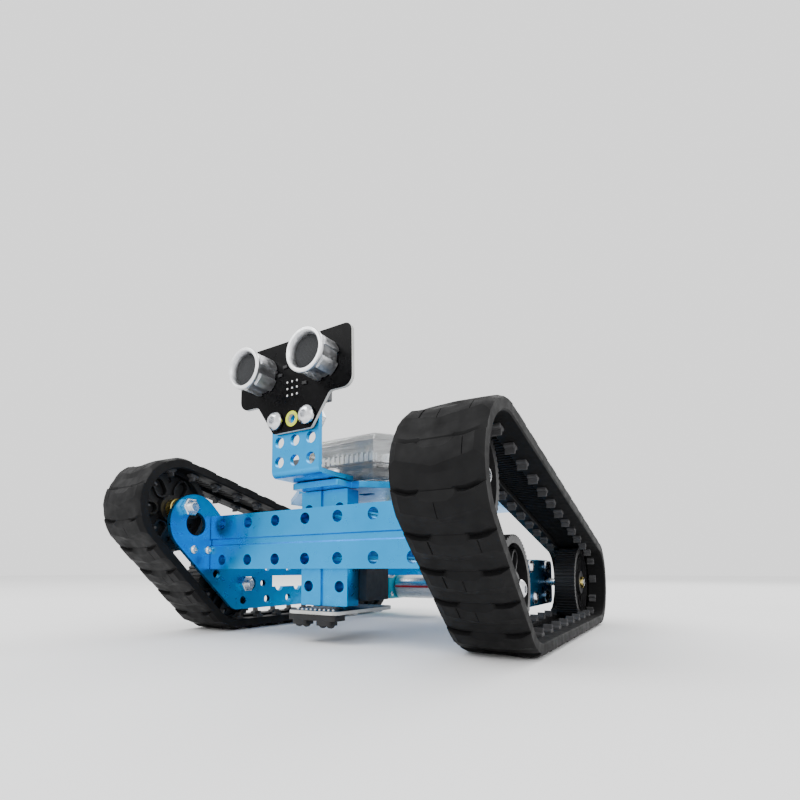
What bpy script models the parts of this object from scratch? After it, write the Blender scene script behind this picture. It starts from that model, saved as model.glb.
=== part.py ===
"""Tracked robot built from an aluminium construction kit, as separate named pieces.

Units are metres. +Z is up, -Y is the robot's front and +X its left side. The origin is on the
floor under the middle of the bounding box. Blender 4.5.
"""
import math

import bmesh
import bpy
from mathutils import Matrix, Vector

MM = 0.001
GAP = 0.3                     # clearance between pieces that touch, in mm

# Driving dimensions, in millimetres.
PITCH = 16.0                  # hole pitch of the beams and plates
BEAM_T = 8.0                  # beam thickness
BEAM_H = 24.0                 # beam height
HOLE_R = 2.3                  # plain M4 hole
PLATE_X = 56.0                # inner face of each side plate
PLATE_T = 2.0
TRACK_IN = 58.4               # inner side face of each track
TRACK_OUT = 86.0              # outer side face of each track
BELT_R_OUT = 22.6             # tread radius round a wheel
BELT_R_EDGE = 20.9            # the tread's bevelled edge
BELT_R_IN = 19.4              # floor of the channel that the wheels run in
BELT_R_LIP = 17.5             # thick lips on both sides of the channel
CHANNEL = (65.9, 77.1)        # the channel's walls
WHEEL_R = 19.0
WHEEL_X = 71.5                # middle plane of the wheels
WHEEL_W = 10.0
BOLT_R = 2.0
SLEEVE_R = 2.9
UPPER_AXLE = (-77.5, 56.6)    # Y, Z of the three axles of a track
LOWER_AXLE = (-43.5, 22.6)
REAR_AXLE = (77.5, 22.6)
HEAD_HOLE = (-73.0, 49.6)     # big hole in the rounded head of a side plate
HEAD_R = 13.2
ARM_BOTTOM = 10.4
ARM_TOP = ARM_BOTTOM + BEAM_H
ARM_REAR = 91.0
BEAM_FRONT_Y = -65.0          # front face of the front beam
BEAM_Z = 41.7                 # middle height of the front beam
REAR_BEAM_Y = 48.0            # middle of the rear beam, which lies flat
REAR_BEAM_Z = 26.4            # underside of the rear beam
POST_Y = -52.7                # front face of the sensor post
POST_Z = 38.5
POST_H = 48.0
TOP_Z = 62.8                  # underside of the top plate
TOP_T = 2.6
BRACKET_Y = -71.5             # front face of the sensor bracket
BRACKET_Z = 65.9
BOARD_FRONT = -73.4           # front face of the sensor board
BOARD_TOP = 119.4
EYE_X = 15.3
EYE_Z = 107.6
EYE_FRONT = -85.0
BATTERY_LOW = (-16.0, -44.4, 16.5)
BATTERY_HIGH = (16.0, -27.0, 44.0)
CELL_R = 7.0
CELL_L = 25.0
LID_T = 2.2
CASE_X = 38.0                 # controller case, half width
CASE_FRONT = -46.0
CASE_REAR = 66.0
CASE_Z = 66.0
CASE_SPLIT = 73.6
CASE_TOP = 87.0
WALL = 1.6
PORT_Y = -32.0                # front end of a bank of five sockets
PORT_PITCH = 15.0
PORTS = 5

BLUE = (0.07, 0.36, 0.62)
BLACK = (0.012, 0.012, 0.013)
SILVER = (0.62, 0.63, 0.65)
BRASS = (0.62, 0.52, 0.20)
TEAL = (0.0, 0.42, 0.55)


def clear_scene():
    """Remove every object, so that the script can run twice in one session."""
    for item in list(bpy.data.objects):
        bpy.data.objects.remove(item, do_unlink=True)
    for group in list(bpy.data.collections):
        bpy.data.collections.remove(group)


def new_collection(name):
    group = bpy.data.collections.new(name)
    bpy.context.scene.collection.children.link(group)
    return group


clear_scene()
ROBOT = new_collection("tracked_robot")
CUTTERS = new_collection("cutters")


# ---------------------------------------------------------------- helpers

def material(name, color, roughness, metallic=0.0):
    """One Principled material with a colour, roughness and metallic value."""
    result = bpy.data.materials.new(name)
    result.use_nodes = True
    shader = result.node_tree.nodes["Principled BSDF"]
    shader.inputs["Base Color"].default_value = (*color, 1.0)
    shader.inputs["Roughness"].default_value = roughness
    shader.inputs["Metallic"].default_value = metallic
    return result


def finish(obj, color, roughness, metallic=0.0, round_shape=False):
    """Give a piece its own material and, where it is round, smooth shading."""
    obj.data.materials.clear()
    obj.data.materials.append(material(obj.name + "_finish", color, roughness, metallic))
    if round_shape:
        obj.data.shade_smooth()
        obj.data.set_sharp_from_angle(angle=math.radians(35))
    return obj


def object_from(name, bm, center, group):
    mesh = bpy.data.meshes.new(name)
    bm.to_mesh(mesh)
    bm.free()
    obj = bpy.data.objects.new(name, mesh)
    obj.location = Vector(center) * MM
    group.objects.link(obj)
    return obj


def box(name, low, high, group=ROBOT):
    """A box between two corners in mm, with its origin at its centre."""
    low = Vector(low)
    high = Vector(high)
    bm = bmesh.new()
    size = (high - low) * MM
    bmesh.ops.create_cube(bm, size=1.0, matrix=Matrix.Diagonal((*size, 1.0)))
    return object_from(name, bm, (low + high) / 2, group)


AXES = {"X": Matrix.Rotation(math.pi / 2, 4, "Y"),
        "Y": Matrix.Rotation(-math.pi / 2, 4, "X"),
        "Z": Matrix.Identity(4)}


def add_rod(bm, center, radius, length, axis, segments):
    """Add a capped cylinder to a bmesh, centred on a point in mm."""
    place = Matrix.Translation(Vector(center) * MM) @ AXES[axis]
    bmesh.ops.create_cone(bm, cap_ends=True, segments=segments, radius1=radius * MM,
                          radius2=radius * MM, depth=length * MM, matrix=place)


def rod(name, center, radius, length, axis, segments=16, group=ROBOT):
    bm = bmesh.new()
    add_rod(bm, (0, 0, 0), radius, length, axis, segments)
    return object_from(name, bm, center, group)


def rods(name, centers, radius, length, axis, segments=12):
    """A cutter made of several parallel rods that don't touch."""
    bm = bmesh.new()
    for center in centers:
        add_rod(bm, center, radius, length, axis, segments)
    return object_from(name, bm, (0, 0, 0), CUTTERS)


def boxes(name, corners):
    """A cutter made of several boxes that don't touch."""
    bm = bmesh.new()
    for low, high in corners:
        low = Vector(low)
        high = Vector(high)
        place = Matrix.Translation((low + high) / 2 * MM)
        bmesh.ops.create_cube(bm, size=1.0, matrix=place @ Matrix.Diagonal((*((high - low) * MM), 1.0)))
    return object_from(name, bm, (0, 0, 0), CUTTERS)


def combine(obj, other, operation):
    """Boolean a second piece into the first, and keep the second as a hidden guide."""
    if other.name in ROBOT.objects:
        ROBOT.objects.unlink(other)
        CUTTERS.objects.link(other)
    other.hide_render = True
    other.display_type = "WIRE"
    step = obj.modifiers.new(operation.lower(), "BOOLEAN")
    step.operation = operation
    step.object = other
    return obj


def cut(obj, other):
    return combine(obj, other, "DIFFERENCE")


def unite(obj, other):
    return combine(obj, other, "UNION")


def circle(center, radius, segments=12):
    """Points of a circle, counter-clockwise."""
    turn = 2 * math.pi / segments
    return [(center[0] + radius * math.cos(i * turn), center[1] + radius * math.sin(i * turn))
            for i in range(segments)]


def arc(center, radius, start, end, steps):
    """Points of an arc between two angles in degrees."""
    angles = [math.radians(start + (end - start) * i / steps) for i in range(steps + 1)]
    return [(center[0] + radius * math.cos(a), center[1] + radius * math.sin(a)) for a in angles]


def stadium(center, half_length, radius, steps=6):
    """A slot outline along the first axis, half_length from the centre to each end's centre."""
    right = (center[0] + half_length, center[1])
    left = (center[0] - half_length, center[1])
    return arc(right, radius, -90, 90, steps) + arc(left, radius, 90, 270, steps)


def rounded(low, high, radius, steps=3):
    """A rectangle with rounded corners."""
    corners = [((high[0] - radius, low[1] + radius), -90), ((high[0] - radius, high[1] - radius), 0),
               ((low[0] + radius, high[1] - radius), 90), ((low[0] + radius, low[1] + radius), 180)]
    points = []
    for center, start in corners:
        points += arc(center, radius, start, start + 90, steps)
    return points


TURNS = {"X": (math.pi / 2, 0.0, math.pi / 2),
         "Y": (math.pi / 2, 0.0, 0.0),
         "Z": (0.0, 0.0, 0.0)}


def plate(name, outline, holes, axis, near, far, group=ROBOT):
    """A flat piece: an outline with holes, extruded along an axis between two heights in mm.

    The outline's two coordinates are Y, Z along X; X, Z along Y; and X, Y along Z.
    """
    curve = bpy.data.curves.new(name, "CURVE")
    curve.dimensions = "2D"
    curve.fill_mode = "BOTH"
    curve.extrude = (far - near) / 2 * MM
    for points in [outline] + holes:
        spline = curve.splines.new("POLY")
        spline.points.add(len(points) - 1)
        for point, (a, b) in zip(spline.points, points):
            point.co = (a * MM, b * MM, 0.0, 1.0)
        spline.use_cyclic_u = True
    guide = bpy.data.objects.new(name + "_curve", curve)
    guide.rotation_euler = TURNS[axis]
    middle = (near + far) / 2 * MM
    guide.location = {"X": (middle, 0, 0), "Y": (0, middle, 0), "Z": (0, 0, middle)}[axis]
    group.objects.link(guide)
    bpy.context.view_layer.update()
    depsgraph = bpy.context.evaluated_depsgraph_get()
    mesh = bpy.data.meshes.new_from_object(guide.evaluated_get(depsgraph))
    mesh.name = name
    bm = bmesh.new()
    bm.from_mesh(mesh)
    bmesh.ops.remove_doubles(bm, verts=bm.verts, dist=1e-6)
    bmesh.ops.recalc_face_normals(bm, faces=bm.faces)
    bm.to_mesh(mesh)
    bm.free()
    obj = bpy.data.objects.new(name, mesh)
    obj.matrix_world = guide.matrix_world
    group.objects.link(obj)
    bpy.data.objects.remove(guide, do_unlink=True)
    return obj


def turned(name, profile, center, steps=32):
    """A turned piece round an axis along +X. The profile is (x, radius) pairs in mm, closed."""
    bm = bmesh.new()
    verts = [bm.verts.new((radius * MM, 0.0, x * MM)) for x, radius in profile]
    for first, second in zip(verts, verts[1:] + verts[:1]):
        bm.edges.new((first, second))
    obj = object_from(name, bm, center, ROBOT)
    obj.rotation_euler = (0.0, math.pi / 2, 0.0)
    screw = obj.modifiers.new("turn", "SCREW")
    screw.axis = "Z"
    screw.angle = 2 * math.pi
    screw.steps = steps
    screw.render_steps = steps
    screw.use_merge_vertices = True
    screw.merge_threshold = 0.00001
    return obj


def sides():
    """The two sides of the robot: its name and the sign of X."""
    return (("left", 1.0), ("right", -1.0))


def across(sign, near, far):
    """Lowest and highest X of a stretch between two distances from the middle plane."""
    return (near, far) if sign > 0 else (-far, -near)


# ---------------------------------------------------------------- frame

def make_front_beam():
    """An 8 x 24 beam along X with two rows of holes and a groove along both faces."""
    half = PLATE_X - GAP
    rear = BEAM_FRONT_Y + BEAM_T
    columns = [PITCH * i for i in range(-3, 4)]
    holes = [circle((x, BEAM_Z + dz), HOLE_R) for x in columns for dz in (-PITCH / 2, PITCH / 2)]
    low = (-half, BEAM_Z - BEAM_H / 2)
    high = (half, BEAM_Z + BEAM_H / 2)
    beam = plate("front_beam", rounded(low, high, 0.6, 1), holes, "Y", BEAM_FRONT_Y, rear)
    cut(beam, boxes("front_beam_grooves", [
        ((-60, BEAM_FRONT_Y - 1, BEAM_Z - 1.4), (60, BEAM_FRONT_Y + 0.8, BEAM_Z + 1.4)),
        ((-60, rear - 0.8, BEAM_Z - 1.4), (60, rear + 1, BEAM_Z + 1.4))]))
    return finish(beam, BLUE, 0.35, 0.85)


def make_rear_beam():
    """The same beam lying flat between the side plates, with two standoffs to the top plate."""
    half = PLATE_X - GAP
    top = REAR_BEAM_Z + BEAM_T
    columns = [PITCH * i for i in range(-3, 4)]
    holes = [circle((x, REAR_BEAM_Y + dy), HOLE_R) for x in columns for dy in (-PITCH / 2, PITCH / 2)]
    low = (-half, REAR_BEAM_Y - BEAM_H / 2)
    high = (half, REAR_BEAM_Y + BEAM_H / 2)
    beam = plate("rear_beam", rounded(low, high, 0.6, 1), holes, "Z", REAR_BEAM_Z, top)
    cut(beam, boxes("rear_beam_grooves", [
        ((-60, REAR_BEAM_Y - 1.4, REAR_BEAM_Z - 1), (60, REAR_BEAM_Y + 1.4, REAR_BEAM_Z + 0.8)),
        ((-60, REAR_BEAM_Y - 1.4, top - 0.8), (60, REAR_BEAM_Y + 1.4, top + 1))]))
    finish(beam, BLUE, 0.35, 0.85)
    height = TOP_Z - GAP - (top + GAP)
    for side, sign in sides():
        center = (sign * 2 * PITCH, REAR_BEAM_Y + PITCH / 2, top + GAP + height / 2)
        finish(rod("rear_standoff_" + side, center, 3.0, height, "Z", 6), BRASS, 0.3, 1.0)


def make_sensor_post():
    """The upright beam that carries the sensor bracket and the line sensor."""
    low = (-BEAM_H / 2, POST_Z - POST_H / 2)
    high = (BEAM_H / 2, POST_Z + POST_H / 2)
    holes = [circle((x, POST_Z + PITCH * row), HOLE_R) for x in (-8, 8) for row in (-1, 0, 1)]
    post = plate("sensor_post", rounded(low, high, 0.6, 1), holes, "Y", POST_Y, POST_Y + BEAM_T)
    cut(post, boxes("post_grooves", [
        ((-1.6, POST_Y - 1, low[1] - 1), (1.6, POST_Y + 0.8, high[1] + 1)),
        ((-1.6, POST_Y + BEAM_T - 0.8, low[1] - 1), (1.6, POST_Y + BEAM_T + 1, high[1] + 1))]))
    return finish(post, BLUE, 0.35, 0.85)


def make_top_plate():
    """The slotted plate that carries the controller, with a tongue over the sensor post."""
    half, front, rear, tongue = 44.0, -50.0, 72.0, -59.5
    right = [(12.0, tongue), (12.0, front), (16.0, front), (half, -24.0), (half, rear - 4), (half - 4, rear)]
    outline = right + [(-x, y) for x, y in reversed(right)]
    holes = [stadium((x, y), 5.0, HOLE_R, 4) for x in (-28, 28) for y in (-8, 8, 24, 40, 56)]
    holes += [stadium((x, -32), 1.6, HOLE_R, 4) for x in (-8, 8)]
    top = plate("top_plate", outline, holes, "Z", TOP_Z, TOP_Z + TOP_T)
    return finish(top, BLUE, 0.35, 0.85)


def make_sensor_bracket():
    """An L bracket: a 3 x 3 hole face that stands up, and a flange on the top plate."""
    low, rear, top = BRACKET_Z, -48.5, 92.0
    profile = [(BRACKET_Y, low), (rear, low), (rear, low + PLATE_T), (BRACKET_Y + PLATE_T, low + PLATE_T),
               (BRACKET_Y + PLATE_T, top), (BRACKET_Y, top)]
    bracket = plate("sensor_bracket", profile, [], "X", -12.0, 12.0)
    grid = [(x, BRACKET_Y, 71.9 + 8 * row) for x in (-8, 0, 8) for row in (0, 1, 2)]
    cut(bracket, rods("bracket_holes", grid, HOLE_R, 8.0, "Y"))
    flange_holes = [(x, -57.0, low) for x in (-8, 8)]
    cut(bracket, rods("flange_holes", flange_holes, HOLE_R, 8.0, "Z"))
    return finish(bracket, BLUE, 0.35, 0.85)


def side_plate_outline():
    """Rounded head, slanted lower front edge and a straight arm to the rear."""
    slant = (-53.5, 12.6)
    run = math.degrees(math.atan2(slant[1] - 38.6, slant[0] + 82.0))
    points = arc(HEAD_HOLE, HEAD_R, run + 270, 45, 12)
    points += [(-58.2, 53.7), (-54.5, 50.0), (-54.5, ARM_TOP)]
    points += [(ARM_REAR - 3, ARM_TOP), (ARM_REAR, ARM_TOP - 3)]
    points += [(ARM_REAR, ARM_BOTTOM + 3), (ARM_REAR - 3, ARM_BOTTOM)]
    points += [(-49.0, ARM_BOTTOM), slant]
    return points


def make_side_plate(side, sign):
    row_high = 30.6
    row_low = 14.6
    columns = [-28.0 + PITCH * i for i in range(8)]
    holes = [circle(HEAD_HOLE, 5.2, 16), circle(UPPER_AXLE, HOLE_R), circle(LOWER_AXLE, HOLE_R)]
    holes += [circle((y, z), HOLE_R, 10) for y in columns[:5] for z in (row_low, row_high)]
    holes += [circle((-44.5, row_low), HOLE_R, 10), circle((-61.1, 27.4), HOLE_R, 10)]
    holes += [circle((-73.9, 38.2), 1.7, 8), circle((-66.0, 38.2), 1.7, 8)]
    holes += [stadium((10.0, 22.6), 33.0, 3.8, 4), circle(REAR_AXLE, 4.0)]
    near, far = across(sign, PLATE_X, PLATE_X + PLATE_T)
    panel = plate("side_plate_" + side, side_plate_outline(), holes, "X", near, far)
    return finish(panel, BLUE, 0.35, 0.85)


# ---------------------------------------------------------------- running gear

def loop_outline(radius, steps):
    """The outline of a belt round the three wheels: arcs joined by straight runs."""
    centers = [Vector(UPPER_AXLE), Vector(LOWER_AXLE), Vector(REAR_AXLE)]
    normals = []
    for first, second in zip(centers, centers[1:] + centers[:1]):
        run = (second - first).normalized()
        normals.append(math.degrees(math.atan2(-run.x, run.y)))
    points = []
    for index, center in enumerate(centers):
        start = normals[index - 1]
        sweep = (normals[index] - start) % 360
        points += arc(center, radius, start, start + sweep, steps[index])
    return points


def make_track(side, sign):
    """The rubber track, as a band with bevelled edges and a channel for the wheels."""
    bevel = 2.4
    section = [(TRACK_IN, BELT_R_LIP), (TRACK_IN, BELT_R_EDGE), (TRACK_IN + bevel, BELT_R_OUT),
               (TRACK_OUT - bevel, BELT_R_OUT), (TRACK_OUT, BELT_R_EDGE), (TRACK_OUT, BELT_R_LIP),
               (CHANNEL[1], BELT_R_LIP), (CHANNEL[1], BELT_R_IN), (CHANNEL[0], BELT_R_IN),
               (CHANNEL[0], BELT_R_LIP)]
    bm = bmesh.new()
    strands = []
    for x, radius in section:
        strands.append([bm.verts.new(Vector((sign * x, y, z)) * MM)
                        for y, z in loop_outline(radius, (10, 4, 12))])
    for first, second in zip(strands, strands[1:] + strands[:1]):
        for i, vert in enumerate(first):
            bm.faces.new((first[i - 1], vert, second[i], second[i - 1]))
    bmesh.ops.recalc_face_normals(bm, faces=bm.faces)
    return finish(object_from("track_" + side, bm, (0, 0, 0), ROBOT), BLACK, 0.7)


def turn_outline(points, degrees):
    """An outline turned about the origin."""
    c = math.cos(math.radians(degrees))
    s = math.sin(math.radians(degrees))
    return [(a * c - b * s, a * s + b * c) for a, b in points]


def make_wheel(name, axle, sign, bore):
    """A pulley: rim, web with oval pockets on both sides, and a hub with a clear bore."""
    half = WHEEL_W / 2
    profile = [(-half, 16.2), (-1.2, 16.2), (-1.2, 6.0), (-half, 6.0), (-half, bore), (half, bore),
               (half, 6.0), (1.2, 6.0), (1.2, 16.2), (half, 16.2), (half, WHEEL_R), (-half, WHEEL_R)]
    wheel = turned(name, profile, (sign * WHEEL_X, *axle), 28)
    petals = [turn_outline(stadium((11.1, 0.0), 1.9, 2.4, 3), index * 60.0) for index in range(6)]
    for place, near, far in (("inner", -3.0, -0.4), ("outer", 0.4, 3.0)):
        cutter = plate(name + "_petals_" + place, petals[0], petals[1:], "X", near, far, CUTTERS)
        cutter.location += Vector((sign * WHEEL_X, *axle)) * MM
        cut(wheel, cutter)
    return finish(wheel, BLACK, 0.5, round_shape=True)


def make_idler_axle(name, axle, sign):
    """A bolt through the plate, with its head outside, and the sleeve that the wheel turns on."""
    y, z = axle
    head_in = 77.5
    bolt = rod("axle_bolt_" + name, (sign * 64.5, y, z), BOLT_R, 27.0, "X", 12)
    unite(bolt, rod("head_" + name, (sign * (head_in + 1.1), y, z), 3.6, 2.6, "X", 12))
    finish(bolt, SILVER, 0.3, 1.0, round_shape=True)
    inner = PLATE_X + PLATE_T + GAP
    outer = head_in - GAP - 0.2
    length = outer - inner
    half = length / 2
    collar = (3.7 - half, 7.9 - half)
    profile = [(-half, BOLT_R + GAP), (half, BOLT_R + GAP), (half, SLEEVE_R), (collar[1], SLEEVE_R),
               (collar[1], 4.5), (collar[0], 4.5), (collar[0], SLEEVE_R), (-half, SLEEVE_R)]
    sleeve = turned("axle_sleeve_" + name, profile, (sign * (inner + half), y, z), 16)
    if sign < 0:
        sleeve.rotation_euler = (0.0, -math.pi / 2, 0.0)
    return finish(sleeve, BRASS, 0.3, 1.0, round_shape=True)


def make_drive(side, sign):
    """A geared motor: gearbox on the side plate, flat-sided can, and the output shaft."""
    y, z = REAR_AXLE
    near, far = across(sign, 36.0, PLATE_X - GAP)
    gearbox = plate("gearbox_" + side, rounded((62.0, 10.8), (93.0, 35.0), 3.0), [circle(REAR_AXLE, 2.8)],
                    "X", near, far)
    finish(gearbox, TEAL, 0.4)
    near, far = across(sign, 4.0, 36.0 - GAP)
    can = plate("motor_" + side, stadium((y, 18.8), 2.4, 7.6, 6), [], "X", near, far)
    finish(can, SILVER, 0.3, 0.9, round_shape=True)
    shaft = rod("drive_shaft_" + side, (sign * 57.2, y, z), BOLT_R, 42.0, "X", 12)
    return finish(shaft, SILVER, 0.3, 1.0, round_shape=True)


def make_running_gear():
    idlers = (("upper", UPPER_AXLE), ("lower", LOWER_AXLE))
    for side, sign in sides():
        make_side_plate(side, sign)
        make_track(side, sign)
        for place, axle in idlers:
            name = place + "_" + side
            make_wheel("wheel_" + name, axle, sign, SLEEVE_R + GAP)
            make_idler_axle(name, axle, sign)
        make_wheel("wheel_rear_" + side, REAR_AXLE, sign, BOLT_R + GAP)
        make_drive(side, sign)


# ---------------------------------------------------------------- sensors

def sensor_board_outline():
    """A wide board with rounded upper corners that narrows to a foot."""
    right = [(9.4, 83.6), (12.0, 86.4), (18.0, 95.6), (24.6, 95.6)]
    right += arc((24.6, 99.2), 3.5, -90, 0, 3)
    right += arc((25.0, BOARD_TOP - 3.2), 3.2, 0, 90, 3)
    return right + [(-x, z) for x, z in reversed(right)]


def make_sensor():
    """The distance sensor: board, two flanged transducers, socket behind and two screws."""
    holes = [circle((x, 87.9), HOLE_R) for x in (-8, 0, 8)]
    board = plate("sensor_board", sensor_board_outline(), holes, "Y", BOARD_FRONT, BOARD_FRONT + 1.6)
    finish(board, BLACK, 0.4)
    depth = BOARD_FRONT - GAP - EYE_FRONT
    for side, sign in sides():
        eye = rod("transducer_" + side, (sign * EYE_X, EYE_FRONT + depth / 2, EYE_Z), 6.8, depth, "Y", 24)
        unite(eye, rod("rim_" + side, (sign * EYE_X, EYE_FRONT + 0.7, EYE_Z), 8.3, 1.4, "Y", 24))
        cut(eye, rod("mouth_" + side, (sign * EYE_X, EYE_FRONT, EYE_Z), 6.3, 4.0, "Y", 24, CUTTERS))
        finish(eye, SILVER, 0.35, 0.9, round_shape=True)
        screw = rod("board_screw_" + side, (sign * 8.0, -71.0, 87.9), BOLT_R, 7.0, "Y", 12)
        unite(screw, rod("pan_" + side, (sign * 8.0, -75.0, 87.9), 3.8, 2.5, "Y", 16))
        finish(screw, SILVER, 0.3, 1.0, round_shape=True)
    socket = box("sensor_socket", (-7.8, -71.5, 97.6), (7.8, -57.5, 110.0))
    cut(socket, boxes("sensor_socket_mouth", [((-5.0, -66.5, 100.3), (5.0, -50.0, 107.3))]))
    return finish(socket, (0.05, 0.05, 0.055), 0.5)


def make_line_sensor():
    """The line sensor under the post: a small board with two optical heads that look down."""
    board = plate("line_board", rounded((-12.6, -61.0), (12.6, -17.0), 3.0), [], "Z", 11.5, 13.1)
    finish(board, (0.5, 0.5, 0.5), 0.5)
    for side, sign in sides():
        low, high = across(sign, 2.3, 9.9)
        head = box("line_head_" + side, (low, -61.5, 6.2), (high, -55.0, 11.2))
        finish(head, BLACK, 0.5)


# ---------------------------------------------------------------- power and control

def make_battery_box():
    """A narrow black holder behind the sensor post, with two short cells standing in it and a lid."""
    low = Vector(BATTERY_LOW)
    high = Vector(BATTERY_HIGH)
    tray = box("battery_tray", low, high)
    cut(tray, boxes("tray_inside", [(low + Vector((1, 1, 1)), high - Vector((1, 1, -1)))]))
    finish(tray, BLACK, 0.55)
    lid_z = high.z + GAP
    lid = box("battery_lid", (low.x, low.y, lid_z), (high.x, high.y, lid_z + LID_T))
    finish(lid, BLACK, 0.55)
    middle_y = (low.y + high.y) / 2
    for index, x in enumerate((-7.5, 7.5)):
        center = (x, middle_y, low.z + 1 + GAP + CELL_L / 2)
        cell = rod("battery_cell_%d" % (index + 1), center, CELL_R, CELL_L, "Z", 16)
        finish(cell, (0.15, 0.2, 0.25), 0.4, 0.3, round_shape=True)


def case_outline(inset):
    """The plan of the controller case: long, with its four corners cut off."""
    half = CASE_X - inset
    front = CASE_FRONT + inset
    rear = CASE_REAR - inset
    nose = 20.0 - inset * 0.4
    return [(-nose, front), (nose, front), (half, front + 22), (half, rear - 22), (nose, rear),
            (-nose, rear), (-half, rear - 22), (-half, front + 22)]


def make_case():
    """The clear case: a shallow base and a deeper cover with a window for each bank of sockets."""
    base = plate("case_base", case_outline(0.0), [], "Z", CASE_Z, CASE_SPLIT - GAP)
    cut(base, plate("base_inside", case_outline(WALL), [], "Z", CASE_Z + WALL, CASE_SPLIT + 5, CUTTERS))
    finish(base, (0.75, 0.8, 0.82), 0.1)
    cover = plate("case_cover", case_outline(0.0), [], "Z", CASE_SPLIT, CASE_TOP)
    cut(cover, plate("cover_inside", case_outline(WALL), [], "Z", CASE_SPLIT - 5, CASE_TOP - WALL, CUTTERS))
    windows = []
    length = PORTS * PORT_PITCH
    for _, sign in sides():
        low, high = across(sign, 24.0, 45.0)
        windows.append(((low, PORT_Y - 1, CASE_SPLIT - 5), (high, PORT_Y + length + 1, CASE_TOP - 3)))
    windows.append(((-5.0, CASE_REAR - 5, 76.5), (5.0, CASE_REAR + 5, 80.5)))
    cut(cover, boxes("cover_windows", windows))
    cut(cover, rods("button_holes", [(x, 50.0, CASE_TOP) for x in (-9, 9)], 2.6, 8.0, "Z"))
    finish(cover, (0.75, 0.8, 0.82), 0.1)


def make_controls():
    """The circuit board, two banks of sockets, two buttons and the power switch."""
    board = plate("circuit_board", case_outline(WALL + 0.5), [], "Z", 71.4, CASE_SPLIT - GAP - 0.4)
    finish(board, (0.02, 0.02, 0.025), 0.5)
    length = PORTS * PORT_PITCH
    for side, sign in sides():
        low, high = across(sign, 24.5, 37.6)
        bank = box("port_bank_" + side, (low, PORT_Y, CASE_SPLIT), (high, PORT_Y + length, CASE_TOP - 3.4))
        mouths = []
        for index in range(PORTS):
            middle = PORT_Y + PORT_PITCH * (index + 0.5)
            near, far = across(sign, 28.0, 45.0)
            mouths.append(((near, middle - 5, 75.2), (far, middle + 5, 82.2)))
        cut(bank, boxes("port_mouths_" + side, mouths))
        finish(bank, (0.25, 0.26, 0.27), 0.5)
        button = rod("button_" + side, (sign * 9.0, 50.0, CASE_TOP - 1.5), 2.2, 5.4, "Z", 16)
        unite(button, rod("button_flange_" + side, (sign * 9.0, 50.0, CASE_TOP - 3.2), 3.0, 2.0, "Z", 16))
        finish(button, BLACK, 0.5, round_shape=True)
    slider = box("power_switch", (-4.6, CASE_REAR - 4.5, 77.0), (-1.4, CASE_REAR + 1.6, 80.0))
    finish(slider, BLACK, 0.5)


def main():
    make_front_beam()
    make_rear_beam()
    make_sensor_post()
    make_top_plate()
    make_sensor_bracket()
    make_running_gear()
    make_sensor()
    make_line_sensor()
    make_battery_box()
    make_case()
    make_controls()


main()
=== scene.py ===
"""The looks of the tracked robot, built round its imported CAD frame.

Lengths in this script are millimetres, and each mesh is scaled to metres when it is made.
-Y is the robot's front, +X its left side and +Z up.
"""
import math
import random

import bmesh
import bpy
from mathutils import Matrix, Vector


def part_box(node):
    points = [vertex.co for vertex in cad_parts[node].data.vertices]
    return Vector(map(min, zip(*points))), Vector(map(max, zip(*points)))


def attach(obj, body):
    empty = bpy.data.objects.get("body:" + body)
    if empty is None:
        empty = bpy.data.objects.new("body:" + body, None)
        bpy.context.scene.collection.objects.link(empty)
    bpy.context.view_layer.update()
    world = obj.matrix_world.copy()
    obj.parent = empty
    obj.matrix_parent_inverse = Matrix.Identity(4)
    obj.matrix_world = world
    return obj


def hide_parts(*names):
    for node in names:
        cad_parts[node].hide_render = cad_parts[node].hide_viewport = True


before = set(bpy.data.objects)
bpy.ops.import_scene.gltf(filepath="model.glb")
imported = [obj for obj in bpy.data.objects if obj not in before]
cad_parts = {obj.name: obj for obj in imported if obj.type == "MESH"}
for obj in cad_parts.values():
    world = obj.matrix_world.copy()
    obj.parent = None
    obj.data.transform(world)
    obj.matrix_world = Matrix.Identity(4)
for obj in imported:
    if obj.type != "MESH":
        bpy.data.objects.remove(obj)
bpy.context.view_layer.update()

MM = 0.001
MASK_T = 0.12                  # thickness of a board's solder mask
CHASSIS = "chassis"
X_AXIS = Vector((1, 0, 0))
Y_AXIS = Vector((0, 1, 0))
Z_AXIS = Vector((0, 0, 1))
SIDES = (("left", 1), ("right", -1))


def node_box(node):
    """Lowest and highest corner of a CAD node, in mm."""
    low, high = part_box(node)
    return low / MM, high / MM


def node_middle(node):
    low, high = node_box(node)
    return (low + high) / 2


# ---------------------------------------------------------------- materials

def shader_of(mat):
    return mat.node_tree.nodes["Principled BSDF"]


def new_material(name, color, roughness, metallic=0.0, shine=None):
    """A Principled material."""
    mat = bpy.data.materials.new(name)
    mat.use_nodes = True
    shader = shader_of(mat)
    shader.inputs["Base Color"].default_value = (*color, 1.0)
    shader.inputs["Roughness"].default_value = roughness
    shader.inputs["Metallic"].default_value = metallic
    if shine is not None:
        shader.inputs["Specular IOR Level"].default_value = shine
    return mat


def noise_node(mat, scale, detail=3.0, stretch=None):
    """Noise in the piece's own coordinates, with scale in features per metre."""
    nodes = mat.node_tree.nodes
    links = mat.node_tree.links
    place = nodes.new("ShaderNodeTexCoord")
    source = place.outputs["Object"]
    if stretch:
        mapping = nodes.new("ShaderNodeMapping")
        mapping.inputs["Scale"].default_value = stretch
        links.new(source, mapping.inputs["Vector"])
        source = mapping.outputs["Vector"]
    noise = nodes.new("ShaderNodeTexNoise")
    noise.inputs["Scale"].default_value = scale
    noise.inputs["Detail"].default_value = detail
    links.new(source, noise.inputs["Vector"])
    return noise


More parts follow.
